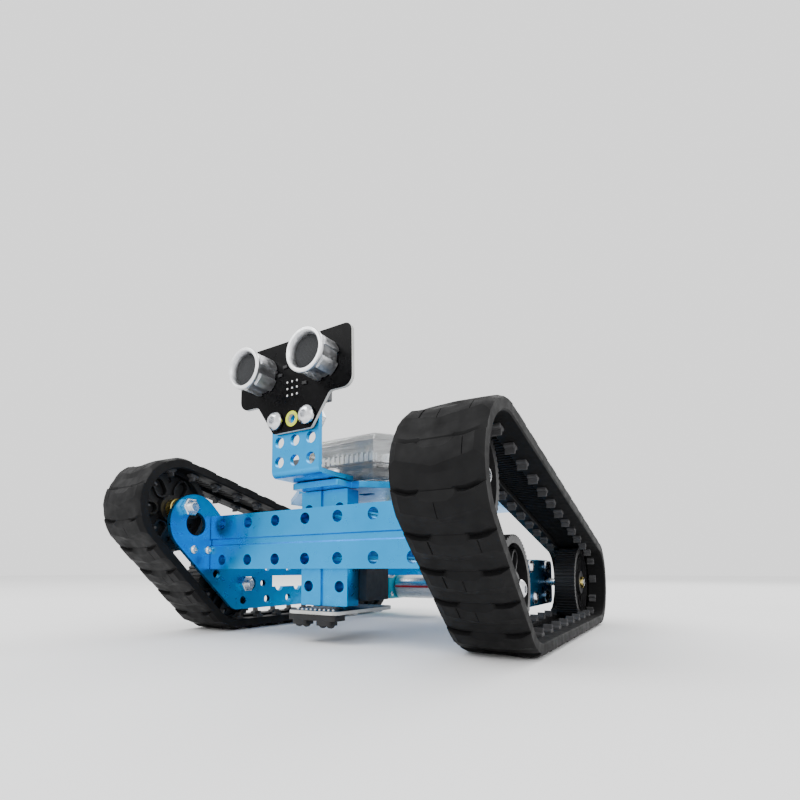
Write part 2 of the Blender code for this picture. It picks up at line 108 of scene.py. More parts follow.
def add_ramp(mat, source, dark, light, start, end):
    """Colour the base from a value: dark below the start and light above the end."""
    ramp = mat.node_tree.nodes.new("ShaderNodeValToRGB")
    for element, position, color in zip(ramp.color_ramp.elements, (start, end), (dark, light)):
        element.position = position
        element.color = (*color, 1.0)
    mat.node_tree.links.new(source, ramp.inputs["Fac"])
    mat.node_tree.links.new(ramp.outputs["Color"], shader_of(mat).inputs["Base Color"])


def add_bump(mat, source, strength, depth_mm):
    bump = mat.node_tree.nodes.new("ShaderNodeBump")
    bump.inputs["Strength"].default_value = strength
    bump.inputs["Distance"].default_value = depth_mm * MM
    mat.node_tree.links.new(source, bump.inputs["Height"])
    mat.node_tree.links.new(bump.outputs["Normal"], shader_of(mat).inputs["Normal"])


def vary_color(mat, dark, light, scale, stretch=None):
    """Mottle the base colour between two colours."""
    add_ramp(mat, noise_node(mat, scale, 4.0, stretch).outputs["Fac"], dark, light, 0.32, 0.68)


def vary_roughness(mat, low, high, scale, stretch=None):
    noise = noise_node(mat, scale, 3.0, stretch)
    span = mat.node_tree.nodes.new("ShaderNodeMapRange")
    for name, value in (("From Min", 0.3), ("From Max", 0.7), ("To Min", low), ("To Max", high)):
        span.inputs[name].default_value = value
    mat.node_tree.links.new(noise.outputs["Fac"], span.inputs["Value"])
    mat.node_tree.links.new(span.outputs["Result"], shader_of(mat).inputs["Roughness"])


def add_grain(mat, scale, strength, depth_mm, stretch=None):
    """Fine bump from noise."""
    add_bump(mat, noise_node(mat, scale, 3.0, stretch).outputs["Fac"], strength, depth_mm)


def anodised(name, dark, light, roughness):
    """Satin anodised aluminium: coloured metal with a fine blasted grain."""
    mat = new_material(name, light, roughness, 0.95)
    vary_color(mat, dark, light, 45.0)
    vary_roughness(mat, roughness - 0.04, roughness + 0.05, 300.0)
    add_grain(mat, 9000.0, 0.03, 0.01)
    return mat


def rubber(name, dark, light):
    """Moulded rubber: near black, with scuffed patches and a pebbled grain."""
    mat = new_material(name, light, 0.6, shine=0.13)
    vary_color(mat, dark, light, 120.0)
    vary_roughness(mat, 0.5, 0.72, 260.0)
    add_grain(mat, 3500.0, 0.25, 0.05)
    return mat


def plastic(name, dark, light, roughness, grain=0.15, shine=0.35):
    """Moulded plastic with a fine spark-eroded grain."""
    mat = new_material(name, light, roughness, shine=shine)
    vary_color(mat, dark, light, 90.0)
    vary_roughness(mat, roughness - 0.06, roughness + 0.08, 400.0)
    add_grain(mat, 6000.0, grain, 0.02)
    return mat


def metal(name, dark, light, roughness, stretch=None):
    """Plated or turned metal, with fine lines when stretched."""
    mat = new_material(name, light, roughness, 1.0)
    vary_color(mat, dark, light, 200.0, stretch)
    vary_roughness(mat, roughness - 0.06, roughness + 0.1, 700.0, stretch)
    add_grain(mat, 5000.0, 0.1, 0.01, stretch)
    return mat


def clear_plastic(name, tint, roughness):
    """Clear moulded plastic with faint flow marks."""
    mat = new_material(name, tint, roughness)
    shader_of(mat).inputs["Transmission Weight"].default_value = 0.93
    shader_of(mat).inputs["IOR"].default_value = 1.46
    vary_roughness(mat, roughness, roughness + 0.06, 80.0)
    add_grain(mat, 160.0, 0.06, 0.3)
    return mat


def math_node(mat, operation, *values):
    """A maths node whose inputs are numbers or other nodes' outputs."""
    node = mat.node_tree.nodes.new("ShaderNodeMath")
    node.operation = operation
    for slot, value in enumerate(values):
        if isinstance(value, float):
            node.inputs[slot].default_value = value
        else:
            mat.node_tree.links.new(value, node.inputs[slot])
    return node.outputs[0]


def wire_mesh(name):
    """Woven wire gauze: a fine grid of light wires over dark gaps."""
    mat = new_material(name, (0.1, 0.1, 0.1), 0.55, 0.2, 0.15)
    wire_pitch = 0.45
    place = mat.node_tree.nodes.new("ShaderNodeTexCoord")
    split = mat.node_tree.nodes.new("ShaderNodeSeparateXYZ")
    mat.node_tree.links.new(place.outputs["Object"], split.inputs["Vector"])
    waves = [math_node(mat, "SINE", math_node(mat, "MULTIPLY", split.outputs[axis],
                                              2 * math.pi / (wire_pitch * MM))) for axis in ("X", "Z")]
    top = math_node(mat, "MAXIMUM", *waves)
    add_ramp(mat, top, (0.003, 0.003, 0.0035), (0.045, 0.047, 0.05), 0.35, 0.75)
    add_bump(mat, top, 0.6, 0.1)
    return mat


BLUE = anodised("blue_anodised", (0.002, 0.28, 0.62), (0.003, 0.32, 0.72), 0.3)
RUBBER = rubber("track_rubber", (0.0042, 0.0042, 0.0045), (0.0058, 0.0058, 0.0062))
# The lugs are the same black rubber as the belt, painted lighter here: a painted highlight for the light
# falling on the lugs' faces.
LUG_RUBBER_PAINTED_LIGHT = rubber("lug_rubber_painted_light", (0.05, 0.05, 0.052), (0.075, 0.075, 0.078))
WHEEL = plastic("wheel_nylon", (0.008, 0.008, 0.009), (0.015, 0.015, 0.016), 0.42)
BLACK = plastic("black_moulding", (0.005, 0.005, 0.006), (0.009, 0.009, 0.01), 0.45)
GREY = plastic("socket_grey", (0.05, 0.052, 0.056), (0.085, 0.088, 0.095), 0.45)
TEAL = plastic("gearbox_teal", (0.0, 0.33, 0.44), (0.0, 0.42, 0.54), 0.38)
STEEL = metal("zinc_plated", (0.55, 0.56, 0.58), (0.78, 0.79, 0.81), 0.24)
CAN = metal("motor_nickel", (0.5, 0.51, 0.53), (0.66, 0.67, 0.69), 0.28, (1.0, 12.0, 12.0))
BRASS = metal("brass", (0.52, 0.40, 0.10), (0.68, 0.55, 0.18), 0.25)
SHELL = metal("transducer_shell", (0.74, 0.75, 0.77), (0.88, 0.89, 0.9), 0.34)
GAUZE = wire_mesh("transducer_gauze")
MASK = plastic("board_mask", (0.0012, 0.0012, 0.0015), (0.0025, 0.0025, 0.003), 0.3, 0.05, 0.06)
LAMINATE = plastic("board_laminate", (0.42, 0.42, 0.40), (0.56, 0.56, 0.54), 0.6)
SOLDER = metal("solder", (0.6, 0.6, 0.6), (0.8, 0.8, 0.8), 0.3)
PAD = metal("plated_pad", (0.55, 0.62, 0.06), (0.72, 0.78, 0.12), 0.35)
RED = plastic("red_band", (0.45, 0.01, 0.015), (0.6, 0.015, 0.02), 0.35)
ORANGE = plastic("orange_part", (0.62, 0.10, 0.03), (0.75, 0.14, 0.05), 0.4)
LABEL_GREEN = plastic("label_green", (0.45, 0.55, 0.05), (0.55, 0.65, 0.08), 0.5)
LABEL_TEAL = plastic("label_teal", (0.0, 0.28, 0.42), (0.0, 0.34, 0.5), 0.5)
WHITE = plastic("white_part", (0.7, 0.7, 0.7), (0.82, 0.82, 0.82), 0.4)
CELL = metal("cell_sleeve", (0.10, 0.13, 0.17), (0.16, 0.2, 0.25), 0.35)
CLEAR = clear_plastic("clear_case", (0.93, 0.95, 0.96), 0.04)


# ---------------------------------------------------------------- mesh helpers

def frame_of(axis):
    """Two directions across an axis, so that (a, b, axis) is right-handed."""
    axis = Vector(axis).normalized()
    a = Z_AXIS if abs(axis.z) < 0.9 else X_AXIS
    a = (a - axis * a.dot(axis)).normalized()
    return a, axis.cross(a), axis


def add_faces(bm, rings, close_ends):
    """Skin rings of vertices, each ring closed on itself, with optional end caps."""
    for first, second in zip(rings, rings[1:]):
        count = len(first)
        for i in range(count):
            j = (i + 1) % count
            bm.faces.new((first[i], first[j], second[j], second[i]))
    if close_ends:
        bm.faces.new(list(reversed(rings[0])))
        bm.faces.new(rings[-1])


def add_lathe(bm, profile, center, axis, steps=32):
    """A solid turned about an axis. The profile is (height, radius) from one end to the other;
    with a hole it comes back to its start."""
    a, b, n = frame_of(axis)
    center = Vector(center)
    closed = profile[0] == profile[-1]
    points = profile[:-1] if closed else profile
    rings = []
    for height, radius in points:
        ring = []
        for i in range(steps):
            angle = 2 * math.pi * i / steps
            offset = (a * math.cos(angle) + b * math.sin(angle)) * max(radius, 0.001)
            ring.append(bm.verts.new((center + n * height + offset) * MM))
        rings.append(ring)
    if closed:
        rings.append(rings[0])
    add_faces(bm, rings, not closed)


def add_prism(bm, outline, center, axis_a, axis_b, low, high, scale_top=1.0):
    """An outline in the plane of two axes, extruded across it between two heights."""
    axis_a = Vector(axis_a)
    axis_b = Vector(axis_b)
    n = axis_a.cross(axis_b)
    center = Vector(center)
    rings = []
    for height, scale in ((low, 1.0), (high, scale_top)):
        rings.append([bm.verts.new((center + axis_a * p * scale + axis_b * q * scale + n * height) * MM)
                      for p, q in outline])
    add_faces(bm, rings, True)


def add_box(bm, low, high):
    low = Vector(low)
    high = Vector(high)
    place = Matrix.Translation((low + high) / 2 * MM) @ Matrix.Diagonal((*((high - low) * MM), 1.0))
    bmesh.ops.create_cube(bm, size=1.0, matrix=place)


def arc(center, radius, start, end, steps):
    angles = [math.radians(start + (end - start) * i / steps) for i in range(steps + 1)]
    return [(center[0] + radius * math.cos(t), center[1] + radius * math.sin(t)) for t in angles]


def circle(center, radius, steps=32):
    return arc(center, radius, 0, 360, steps)[:-1]


def stadium(center, half, radius, steps=12):
    """A slot along the first axis."""
    return (arc((center[0] + half, center[1]), radius, -90, 90, steps)
            + arc((center[0] - half, center[1]), radius, 90, 270, steps))


def rounded(low, high, radius, steps=6):
    """A rectangle with rounded corners."""
    points = arc((high[0] - radius, low[1] + radius), radius, -90, 0, steps)
    points += arc((high[0] - radius, high[1] - radius), radius, 0, 90, steps)
    points += arc((low[0] + radius, high[1] - radius), radius, 90, 180, steps)
    return points + arc((low[0] + radius, low[1] + radius), radius, 180, 270, steps)


def turn(points, degrees):
    c = math.cos(math.radians(degrees))
    s = math.sin(math.radians(degrees))
    return [(p * c - q * s, p * s + q * c) for p, q in points]


def shift(points, dp, dq):
    return [(p + dp, q + dq) for p, q in points]


PLANES = {"X": Matrix(((0, 0, 1, 0), (1, 0, 0, 0), (0, 1, 0, 0), (0, 0, 0, 1))),
          "Y": Matrix(((1, 0, 0, 0), (0, 0, -1, 0), (0, 1, 0, 0), (0, 0, 0, 1))),
          "Z": Matrix.Identity(4)}


def sheet_mesh(outlines, axis, near, far):
    """A flat piece from outlines, the first ones solid and those inside them holes."""
    curve = bpy.data.curves.new("outline", "CURVE")
    curve.dimensions = "2D"
    curve.fill_mode = "BOTH"
    curve.extrude = (far - near) / 2 * MM
    for points in outlines:
        spline = curve.splines.new("POLY")
        spline.points.add(len(points) - 1)
        for point, (p, q) in zip(spline.points, points):
            point.co = (p * MM, q * MM, 0.0, 1.0)
        spline.use_cyclic_u = True
    guide = bpy.data.objects.new("outline", curve)
    bpy.context.scene.collection.objects.link(guide)
    bpy.context.view_layer.update()
    graph = bpy.context.evaluated_depsgraph_get()
    mesh = bpy.data.meshes.new_from_object(guide.evaluated_get(graph))
    middle = (near + far) / 2 * MM
    offset = {"X": (middle, 0, 0), "Y": (0, middle, 0), "Z": (0, 0, middle)}[axis]
    mesh.transform(Matrix.Translation(offset) @ PLANES[axis])
    bpy.data.objects.remove(guide, do_unlink=True)
    bpy.data.curves.remove(curve)
    return mesh


def add_sheet(bm, outlines, axis, near, far):
    """Add a flat piece with holes to a bmesh, with its edges welded."""
    mesh = sheet_mesh(outlines, axis, near, far)
    fresh = bmesh.new()
    fresh.from_mesh(mesh)
    bmesh.ops.remove_doubles(fresh, verts=fresh.verts, dist=1e-6)
    bmesh.ops.recalc_face_normals(fresh, faces=fresh.faces)
    fresh.to_mesh(mesh)
    fresh.free()
    bm.from_mesh(mesh)
    bpy.data.meshes.remove(mesh)


def piece(name, bm, mat, body=CHASSIS, slot=None, nodes=(), bevel=0.0, smooth=32):
    """Finish a bmesh as a named piece: material, rounded edges, shading and the body it rides on."""
    bmesh.ops.recalc_face_normals(bm, faces=bm.faces)
    mesh = bpy.data.meshes.new(name)
    bm.to_mesh(mesh)
    bm.free()
    mesh.materials.append(mat)
    mesh.shade_smooth()
    mesh.set_sharp_from_angle(angle=math.radians(smooth))
    obj = bpy.data.objects.new(name, mesh)
    bpy.context.scene.collection.objects.link(obj)
    if bevel:
        edge = obj.modifiers.new("rounded_edges", "BEVEL")
        edge.width = bevel * MM
        edge.segments = 2
        edge.limit_method = "ANGLE"
        edge.angle_limit = math.radians(40)
        edge.harden_normals = True
    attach(obj, body)
    if nodes:
        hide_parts(*nodes)
    return obj


def sheet_piece(name, outlines, axis, near, far, mat, **finish):
    """A piece that is one flat sheet."""
    bm = bmesh.new()
    add_sheet(bm, outlines, axis, near, far)
    return piece(name, bm, mat, **finish)


def block_piece(name, blocks, mat, **finish):
    """A piece made of upright blocks: (x, y, lowest z, wide, deep, tall)."""
    bm = bmesh.new()
    for x, y, z, wide, deep, tall in blocks:
        add_box(bm, (x - wide / 2, y - deep / 2, z), (x + wide / 2, y + deep / 2, z + tall))
    return piece(name, bm, mat, **finish)


def turned_piece(name, profile, center, axis, steps, mat, **finish):
    """A piece that is one turned solid."""
    bm = bmesh.new()
    add_lathe(bm, profile, center, axis, steps)
    return piece(name, bm, mat, **finish)


def make_board(name, outlines, axis, low, high, slot, masks):
    """A laminate between two thin layers of solder mask, each given as (name, near face)."""
    sheet_piece(name + "_laminate", outlines, axis, low + MASK_T, high - MASK_T, LAMINATE,
                slot=slot, nodes=[name])
    for layer, near in masks:
        sheet_piece("%s_%s" % (name, layer), outlines, axis, near, near + MASK_T, MASK, slot=slot)


def boolean(obj, tools):
    """Cut closed bmeshes from a piece, before its bevel."""
    others = list(obj.modifiers)
    for tool in tools:
        mesh = bpy.data.meshes.new("tool")
        tool.to_mesh(mesh)
        tool.free()
        cutter = bpy.data.objects.new("tool", mesh)
        bpy.context.scene.collection.objects.link(cutter)
        for other in others:
            other.show_viewport = False
        step = obj.modifiers.new("cut", "BOOLEAN")
        step.object = cutter
        bpy.context.view_layer.update()
        graph = bpy.context.evaluated_depsgraph_get()
        cut = bpy.data.meshes.new_from_object(obj.evaluated_get(graph))
        obj.modifiers.remove(step)
        for other in others:
            other.show_viewport = True
        old = obj.data
        cut.name = old.name
        obj.data = cut
        bpy.data.meshes.remove(old)
        bpy.data.objects.remove(cutter, do_unlink=True)
        cut.shade_smooth()
        cut.set_sharp_from_angle(angle=math.radians(32))
    return obj


# ---------------------------------------------------------------- fasteners

def add_screw_head(bm, face, axis, radius=3.5, height=2.3):
    """A button head standing on a face, with its round driver socket."""
    socket = radius * 0.38
    profile = [(0.0, radius * 0.9), (0.15, radius), (height * 0.45, radius * 0.98),
               (height * 0.8, radius * 0.78), (height, radius * 0.52), (height, socket),
               (height * 0.35, socket * 0.94), (height * 0.28, 0.0)]
    add_lathe(bm, profile, face, axis, 28)


def add_nut(bm, face, axis, across=7.0, height=3.0, bore=1.9):
    """A hex nut standing on a face, with a chamfered top and a bore."""
    a, b, n = frame_of(axis)
    corner = across / math.sqrt(3)
    rings = []
    levels = [(0.0, bore, True), (0.0, corner * 0.96, False), (0.3, corner, False),
              (height - 0.4, corner, False), (height, corner * 0.9, False), (height, bore, True),
              (height - 0.4, bore * 0.9, True)]
    steps = 24
    for level, radius, is_round in levels:
        ring = []
        for i in range(steps):
            angle = 2 * math.pi * i / steps
            wedge = (angle + math.pi / 6) % (math.pi / 3) - math.pi / 6
            reach = radius if is_round else radius * math.cos(math.pi / 6) / math.cos(wedge)
            offset = (a * math.cos(angle) + b * math.sin(angle)) * reach
            ring.append(bm.verts.new((Vector(face) + n * level + offset) * MM))
        rings.append(ring)
    rings.append(rings[0])
    add_faces(bm, rings, False)


def add_hex_post(bm, low, axis, length, across=5.4):
    """A hexagonal standoff."""
    a, b, _ = frame_of(axis)
    corner = across / math.sqrt(3)
    outline = [(corner * math.cos(math.pi * i / 3), corner * math.sin(math.pi * i / 3)) for i in range(6)]
    add_prism(bm, outline, low, a, b, 0.0, length)


# ---------------------------------------------------------------- frame of beams and plates

PITCH = 16.0
HOLE_R = 2.3
HOLE_STEPS = 28


def groove_tool(low, high, across, place, faces):
    """A V-sided groove along a beam, on each of the faces given as (position, outward sign)."""
    half_width, depth = 1.6, 0.9
    floor = half_width * 0.72
    bm = bmesh.new()
    for face, sign in faces:
        outline = [(-half_width, 1.0), (half_width, 1.0), (half_width, 0.0), (floor, -depth),
                   (-floor, -depth), (-half_width, 0.0)]
        points = [(across + p, face + sign * q) for p, q in outline]
        start, axes = (low, 0, 0), (Y_AXIS, Z_AXIS)
        if place == "upright":
            start, axes = (0, 0, low), (X_AXIS, Y_AXIS)
        if place == "on edge":
            points = [(q, p) for p, q in points]
        add_prism(bm, points, start, *axes, 0.0, high - low)
    bmesh.ops.recalc_face_normals(bm, faces=bm.faces)
    return bm


def beam_holes(middle):
    """The two rows of holes of a beam that lies across the robot."""
    return [circle((PITCH * i, middle + offset), HOLE_R, HOLE_STEPS)
            for i in range(-3, 4) for offset in (-PITCH / 2, PITCH / 2)]


def make_beam(node, axis, holes, groove):
    """A beam with holes along an axis, and a groove on the two faces that they go through."""
    low, high = node_box(node)
    side, depth = (2, 1) if axis == "Y" else (1, 2)
    outline = rounded((low.x, low[side]), (high.x, high[side]), 0.5, 3)
    beam = sheet_piece(node + "_profile", [outline] + holes, axis, low[depth], high[depth], BLUE,
                       nodes=[node], bevel=0.22)
    boolean(beam, [groove])


def make_beams():
    """The front beam on edge, the rear beam lying flat and the upright sensor post."""
    low, high = node_box("front_beam")
    middle = (low.z + high.z) / 2
    groove = groove_tool(low.x - 1, high.x + 1, middle, "on edge", ((low.y, -1), (high.y, 1)))
    make_beam("front_beam", "Y", beam_holes(middle), groove)
    low, high = node_box("rear_beam")
    middle = (low.y + high.y) / 2
    groove = groove_tool(low.x - 1, high.x + 1, middle, "flat", ((low.z, -1), (high.z, 1)))
    make_beam("rear_beam", "Z", beam_holes(middle), groove)
    low, high = node_box("sensor_post")
    middle = (low.z + high.z) / 2
    holes = [circle((x, middle + PITCH * row), HOLE_R, HOLE_STEPS) for x in (-8, 8) for row in (-1, 0, 1)]
    groove = groove_tool(low.z - 1, high.z + 1, 0.0, "upright", ((low.y, -1), (high.y, 1)))
    make_beam("sensor_post", "Y", holes, groove)


def make_top_plate():
    low, high = node_box("top_plate")
    right = arc((10.5, low.y + 1.5), 1.5, -90, 0, 4)
    right += [(12.0, -50.0), (16.0, -50.0), (high.x, -24.0)]
    right += arc((high.x - 4.0, high.y - 4.0), 4.0, 0, 90, 6)
    outline = right + [(-x, y) for x, y in reversed(right)]
    holes = [stadium((x, y), 5.0, HOLE_R) for x in (-28, 28) for y in (-8, 8, 24, 40, 56)]
    holes += [stadium((x, -32), 1.6, HOLE_R) for x in (-8, 8)]
    sheet_piece("top_plate_sheet", [outline] + holes, "Z", low.z, high.z, BLUE,
                nodes=["top_plate"], bevel=0.2)


def make_sensor_bracket():
    """A folded L bracket with a rounded bend and a 3 x 3 grid of holes."""
    low, high = node_box("sensor_bracket")
    thick = 2.0
    bend = 2.6
    outline = arc((low.y + bend, low.z + bend), bend, 180, 270, 8)
    outline += [(high.y, low.z), (high.y, low.z + thick)]
    outline += arc((low.y + bend, low.z + bend), bend - thick, 270, 180, 6)
    outline += [(low.y + thick, high.z), (low.y, high.z)]
    bracket = sheet_piece("sensor_bracket_fold", [outline], "X", low.x, high.x, BLUE,
                          nodes=["sensor_bracket"], bevel=0.25)
    holes = bmesh.new()
    for x in (-8, 0, 8):
        for row in range(3):
            add_lathe(holes, [(-4, HOLE_R), (4, HOLE_R)], (x, low.y + 1, 71.9 + 8 * row), Y_AXIS, HOLE_STEPS)
    for x in (-8, 8):
        add_lathe(holes, [(-4, HOLE_R), (4, HOLE_R)], (x, -57.0, low.z + 1), Z_AXIS, HOLE_STEPS)
    bmesh.ops.recalc_face_normals(holes, faces=holes.faces)
    boolean(bracket, [holes])


HEAD_HOLE = (-73.0, 49.6)
HEAD_R = 13.2
UPPER_AXLE = (-77.5, 56.6)
LOWER_AXLE = (-43.5, 22.6)
REAR_AXLE = (77.5, 22.6)
ROW_LOW = 14.6
ROW_HIGH = 30.6


def side_plate_outline(low, high):
    """Rounded head, slanted lower front edge and a straight arm with rounded ends."""
    slant = (-53.5, 12.6)
    arm_top = low.z + 24.0
    run = math.degrees(math.atan2(slant[1] - 38.6, slant[0] + 82.0))
    points = arc(HEAD_HOLE, HEAD_R, run + 270, 45, 28)
    points += [(-58.2, 53.7), (-55.6, 51.2)]
    points += arc((-50.5, arm_top + 4.0), 4.0, 180, 270, 8)
    points += arc((high.y - 3, arm_top - 3), 3, 90, 0, 6)
    points += arc((high.y - 3, low.z + 3), 3, 0, -90, 6)
    points += arc((-48.0, low.z + 6.5), 6.5, -90, -90 - 44, 6)
    return points


def keyhole_slot():
    """The long slot of a side plate: straight above, with round lobes below at the hole pitch."""
    left, right, level, reach = -23.0, 43.0, 22.6, 3.8
    points = [(left - 1.2, level + reach), (left - 1.2, level - 2.0)]
    for i in range(5):
        center = left + 4.0 + i * (right - left - 8.0) / 4
        points += arc((center, level - 1.2), 3.0, 195, 345, 8)
    return points + [(right, level - 2.0), (right, level + reach)]


def make_side_plate(side, sign):
    name = "side_plate_" + side
    low, high = node_box(name)
    holes = [circle(HEAD_HOLE, 5.2, 40), circle(UPPER_AXLE, HOLE_R, HOLE_STEPS)]
    holes += [circle((-28.0 + PITCH * i, z), 1.9, HOLE_STEPS) for i in range(5) for z in (ROW_LOW, ROW_HIGH)]
    holes += [circle((-44.5, ROW_LOW), 1.9, HOLE_STEPS), circle((-61.1, 27.4), 2.0, HOLE_STEPS)]
    holes += [circle((-31.0, 22.6), 1.7, HOLE_STEPS), circle((-39.6, 22.6), 3.4, HOLE_STEPS)]
    holes += [circle((-73.9, 38.2), 1.6, 20), circle((-66.0, 38.2), 1.6, 20)]
    holes += [keyhole_slot(), circle(REAR_AXLE, 4.0, 32)]
    sheet_piece(name + "_sheet", [side_plate_outline(low, high)] + holes, "X", low.x, high.x, BLUE,
                nodes=[name], bevel=0.2)
    nuts = bmesh.new()
    screws = bmesh.new()
    inner = sign * 56.0
    outer = sign * 58.0
    inward = -sign * X_AXIS
    for y, z in (UPPER_AXLE, LOWER_AXLE):
        add_nut(nuts, (inner, y, z), inward)
    for y, z in ((-73.9, 38.2), (-66.0, 38.2), (-61.3, 42.2)):
        add_screw_head(screws, (inner, y, z), inward, 1.9, 1.2)
    for y, z in ((43.4, 31.0), (76.6, 31.0), (50.0, 15.0), (75.0, 15.0)):
        add_screw_head(screws, (outer, y, z), -inward, 3.3, 2.2)
    piece("plate_nuts_" + side, nuts, STEEL, bevel=0.12)
    piece("plate_screws_" + side, screws, STEEL)


def make_frame_screws():
    """Screws in the beams' holes where other parts are held, and standoffs under the top plate."""
    bm = bmesh.new()
    under = node_box("rear_beam")[0].z
    for x in (-8, 8):
        add_screw_head(bm, (x, node_box("sensor_post")[1].y, 22.5), Y_AXIS, 3.3, 2.2)
        add_screw_head(bm, (x, -57.0, node_box("sensor_bracket")[0].z + 2.0), Z_AXIS, 3.3, 2.2)
    for x in (-32, 32):
        add_screw_head(bm, (x, 56.0, under), -Z_AXIS, 3.3, 2.2)
    piece("frame_screws", bm, STEEL)
    for side, _ in SIDES:
        name = "rear_standoff_" + side
        low, high = node_box(name)
        middle = node_middle(name)
        post = bmesh.new()
        add_hex_post(post, (middle.x, middle.y, low.z), Z_AXIS, high.z - low.z, 5.1)
        piece(name + "_hex", post, BRASS, nodes=[name], bevel=0.25)


# ---------------------------------------------------------------- tracks and wheels

BELT_R_IN = 19.4               # floor of the channel round a wheel
BELT_R_LIP = 17.5              # the thick lips on both sides of the channel
BASE_R = 20.9                  # carcass under the tread
BELT_HALF = 13.8               # half the belt's width
BELT_MIDDLE = 72.2             # distance of the belt's middle from the robot's middle plane
CHANNEL = (-6.3, 4.9)          # walls of the channel, from the belt's middle outwards
TREAD_BLOCKS = 33
FIRST_BLOCK = 4.0              # start of the first block after the first wheel, along the carcass
BELT_TEETH = 226


class Loop:
    """The path of the belt round the three wheels, measured along the carcass."""

    def __init__(self, radius):
        centers = [Vector(UPPER_AXLE), Vector(LOWER_AXLE), Vector(REAR_AXLE)]
        self.radius = radius
        self.parts = []
        runs = [second - first for first, second in zip(centers, centers[1:] + centers[:1])]
        angles = [math.atan2(-run.x, run.y) for run in runs]
        for index, center in enumerate(centers):
            start = angles[index - 1]
            sweep = (angles[index] - start) % (2 * math.pi)
            self.parts.append(("arc", radius * sweep, center, start))
            normal = Vector((math.cos(angles[index]), math.sin(angles[index])))
            self.parts.append(("run", runs[index].length, center + normal * radius, normal))
        self.length = sum(part[1] for part in self.parts)
        self.front_run = self.parts[0][1]

    def at(self, distance):
        """Point and outward normal at a distance along the loop, both in (Y, Z)."""
        distance %= self.length
        for kind, length, start, extra in self.parts:
            if distance <= length:
                if kind == "arc":
                    angle = extra + distance / self.radius
                    normal = Vector((math.cos(angle), math.sin(angle)))
                    return start + normal * self.radius, normal
                along = Vector((-extra.y, extra.x))
                return start + along * distance, extra
            distance -= length
        return self.at(0.0)


LOOP = Loop(BASE_R)


def between(knots, value):
    """Linear interpolation in (value, result) pairs, flat beyond both ends."""
    if value <= knots[0][0]:
        return knots[0][1]
    for (v0, r0), (v1, r1) in zip(knots, knots[1:]):
        if value <= v1:
            return r0 + (r1 - r0) * (value - v0) / (v1 - v0)
    return knots[-1][1]


# The tread pattern: lines along a block, in mm from its start, against the distance from the
# belt's middle. A block starts with a step, in the middle softened to a ramp; then come its face,
# a slope down to a lower band, and a groove at the sides just before the next block.
BLOCK_START = ((5.2, 0.0), (6.2, 0.75), (8.5, 0.8), (11.0, 0.1), (13.8, -1.2))
RAMP_LENGTH = ((2.8, 2.8), (4.8, 2.0), (5.8, 0.55), (6.2, 0.3))
SLOPE_START = ((0.0, 7.9), (3.0, 7.0), (7.0, 6.2), (10.0, 5.5), (11.6, 4.8), (13.8, 6.8))
SLOPE_END = ((0.0, 9.5), (4.0, 9.2), (9.0, 8.8), (13.8, 8.0))
GROOVE_LENGTH = ((4.5, 0.3), (6.2, 1.5), (13.8, 1.7))
GROOVE_HEIGHT = ((4.5, 0.35), (6.2, -0.15), (13.8, -0.2))
EDGE_BEVEL = ((11.3, 1.0), (13.5, 0.36), (13.8, 0.2))
FACE_HEIGHT = 1.62
BAND_HEIGHT = 0.55
SLITS = {-6.7: 0, -6.5: 0, -0.9: 1, -0.7: 1, 8.1: 2, 8.3: 2}


def block_knots(u, pitch, slit):
    """(distance, height over the carcass) along one block at a distance u from the middle."""
    u = abs(u)
    start = between(BLOCK_START, u)
    ramp = between(RAMP_LENGTH, u)
    slope = between(SLOPE_START, u)
    foot = between(SLOPE_END, u)
    groove = between(GROOVE_LENGTH, u)
    low = between(GROOVE_HEIGHT, u)
    bevel = between(EDGE_BEVEL, u)
    step = FACE_HEIGHT - 0.1 if u > 6.0 else low + 0.12
    cut = 0.28 if slit else 0.0
    knots = [(start - 0.15, low), (start, low), (start + 0.12, step), (start + ramp, FACE_HEIGHT),
             (start + ramp + 0.5, FACE_HEIGHT - cut), ((start + ramp + slope) / 2, FACE_HEIGHT - cut),
             (slope - 0.3, FACE_HEIGHT - cut), (slope, FACE_HEIGHT), (foot, BAND_HEIGHT),
             ((foot + pitch - 1.2) / 2, BAND_HEIGHT + 0.06), (pitch + start - groove, BAND_HEIGHT)]
    return [(distance, height * bevel) for distance, height in knots]


def belt_columns():
    """Cross-section of the belt: (distance from the middle, tread or radius)."""
    tread = [-13.8, -13.5, -12.6, -11.3, -10.0, -8.5, -7.3, -6.72, -6.7, -6.5, -6.2, -5.75, -5.2, -4.5, -2.8,
             -1.6, -0.92, -0.9, -0.7, -0.68, 0.8, 2.8, 4.5, 5.2, 5.75, 6.2, 7.3, 8.08, 8.1, 8.3, 8.32,
             10.0, 11.3, 12.6, 13.5, 13.8]
    columns = [(u, None) for u in tread]
    inner = [(BELT_HALF, BELT_R_LIP + 0.5), (BELT_HALF - 0.4, BELT_R_LIP), (CHANNEL[1] + 0.3, BELT_R_LIP),
             (CHANNEL[1], BELT_R_LIP + 0.3), (CHANNEL[1], BELT_R_IN), (CHANNEL[0], BELT_R_IN),
             (CHANNEL[0], BELT_R_LIP + 0.3), (CHANNEL[0] - 0.3, BELT_R_LIP),
             (0.4 - BELT_HALF, BELT_R_LIP), (-BELT_HALF, BELT_R_LIP + 0.5)]
    return columns + inner


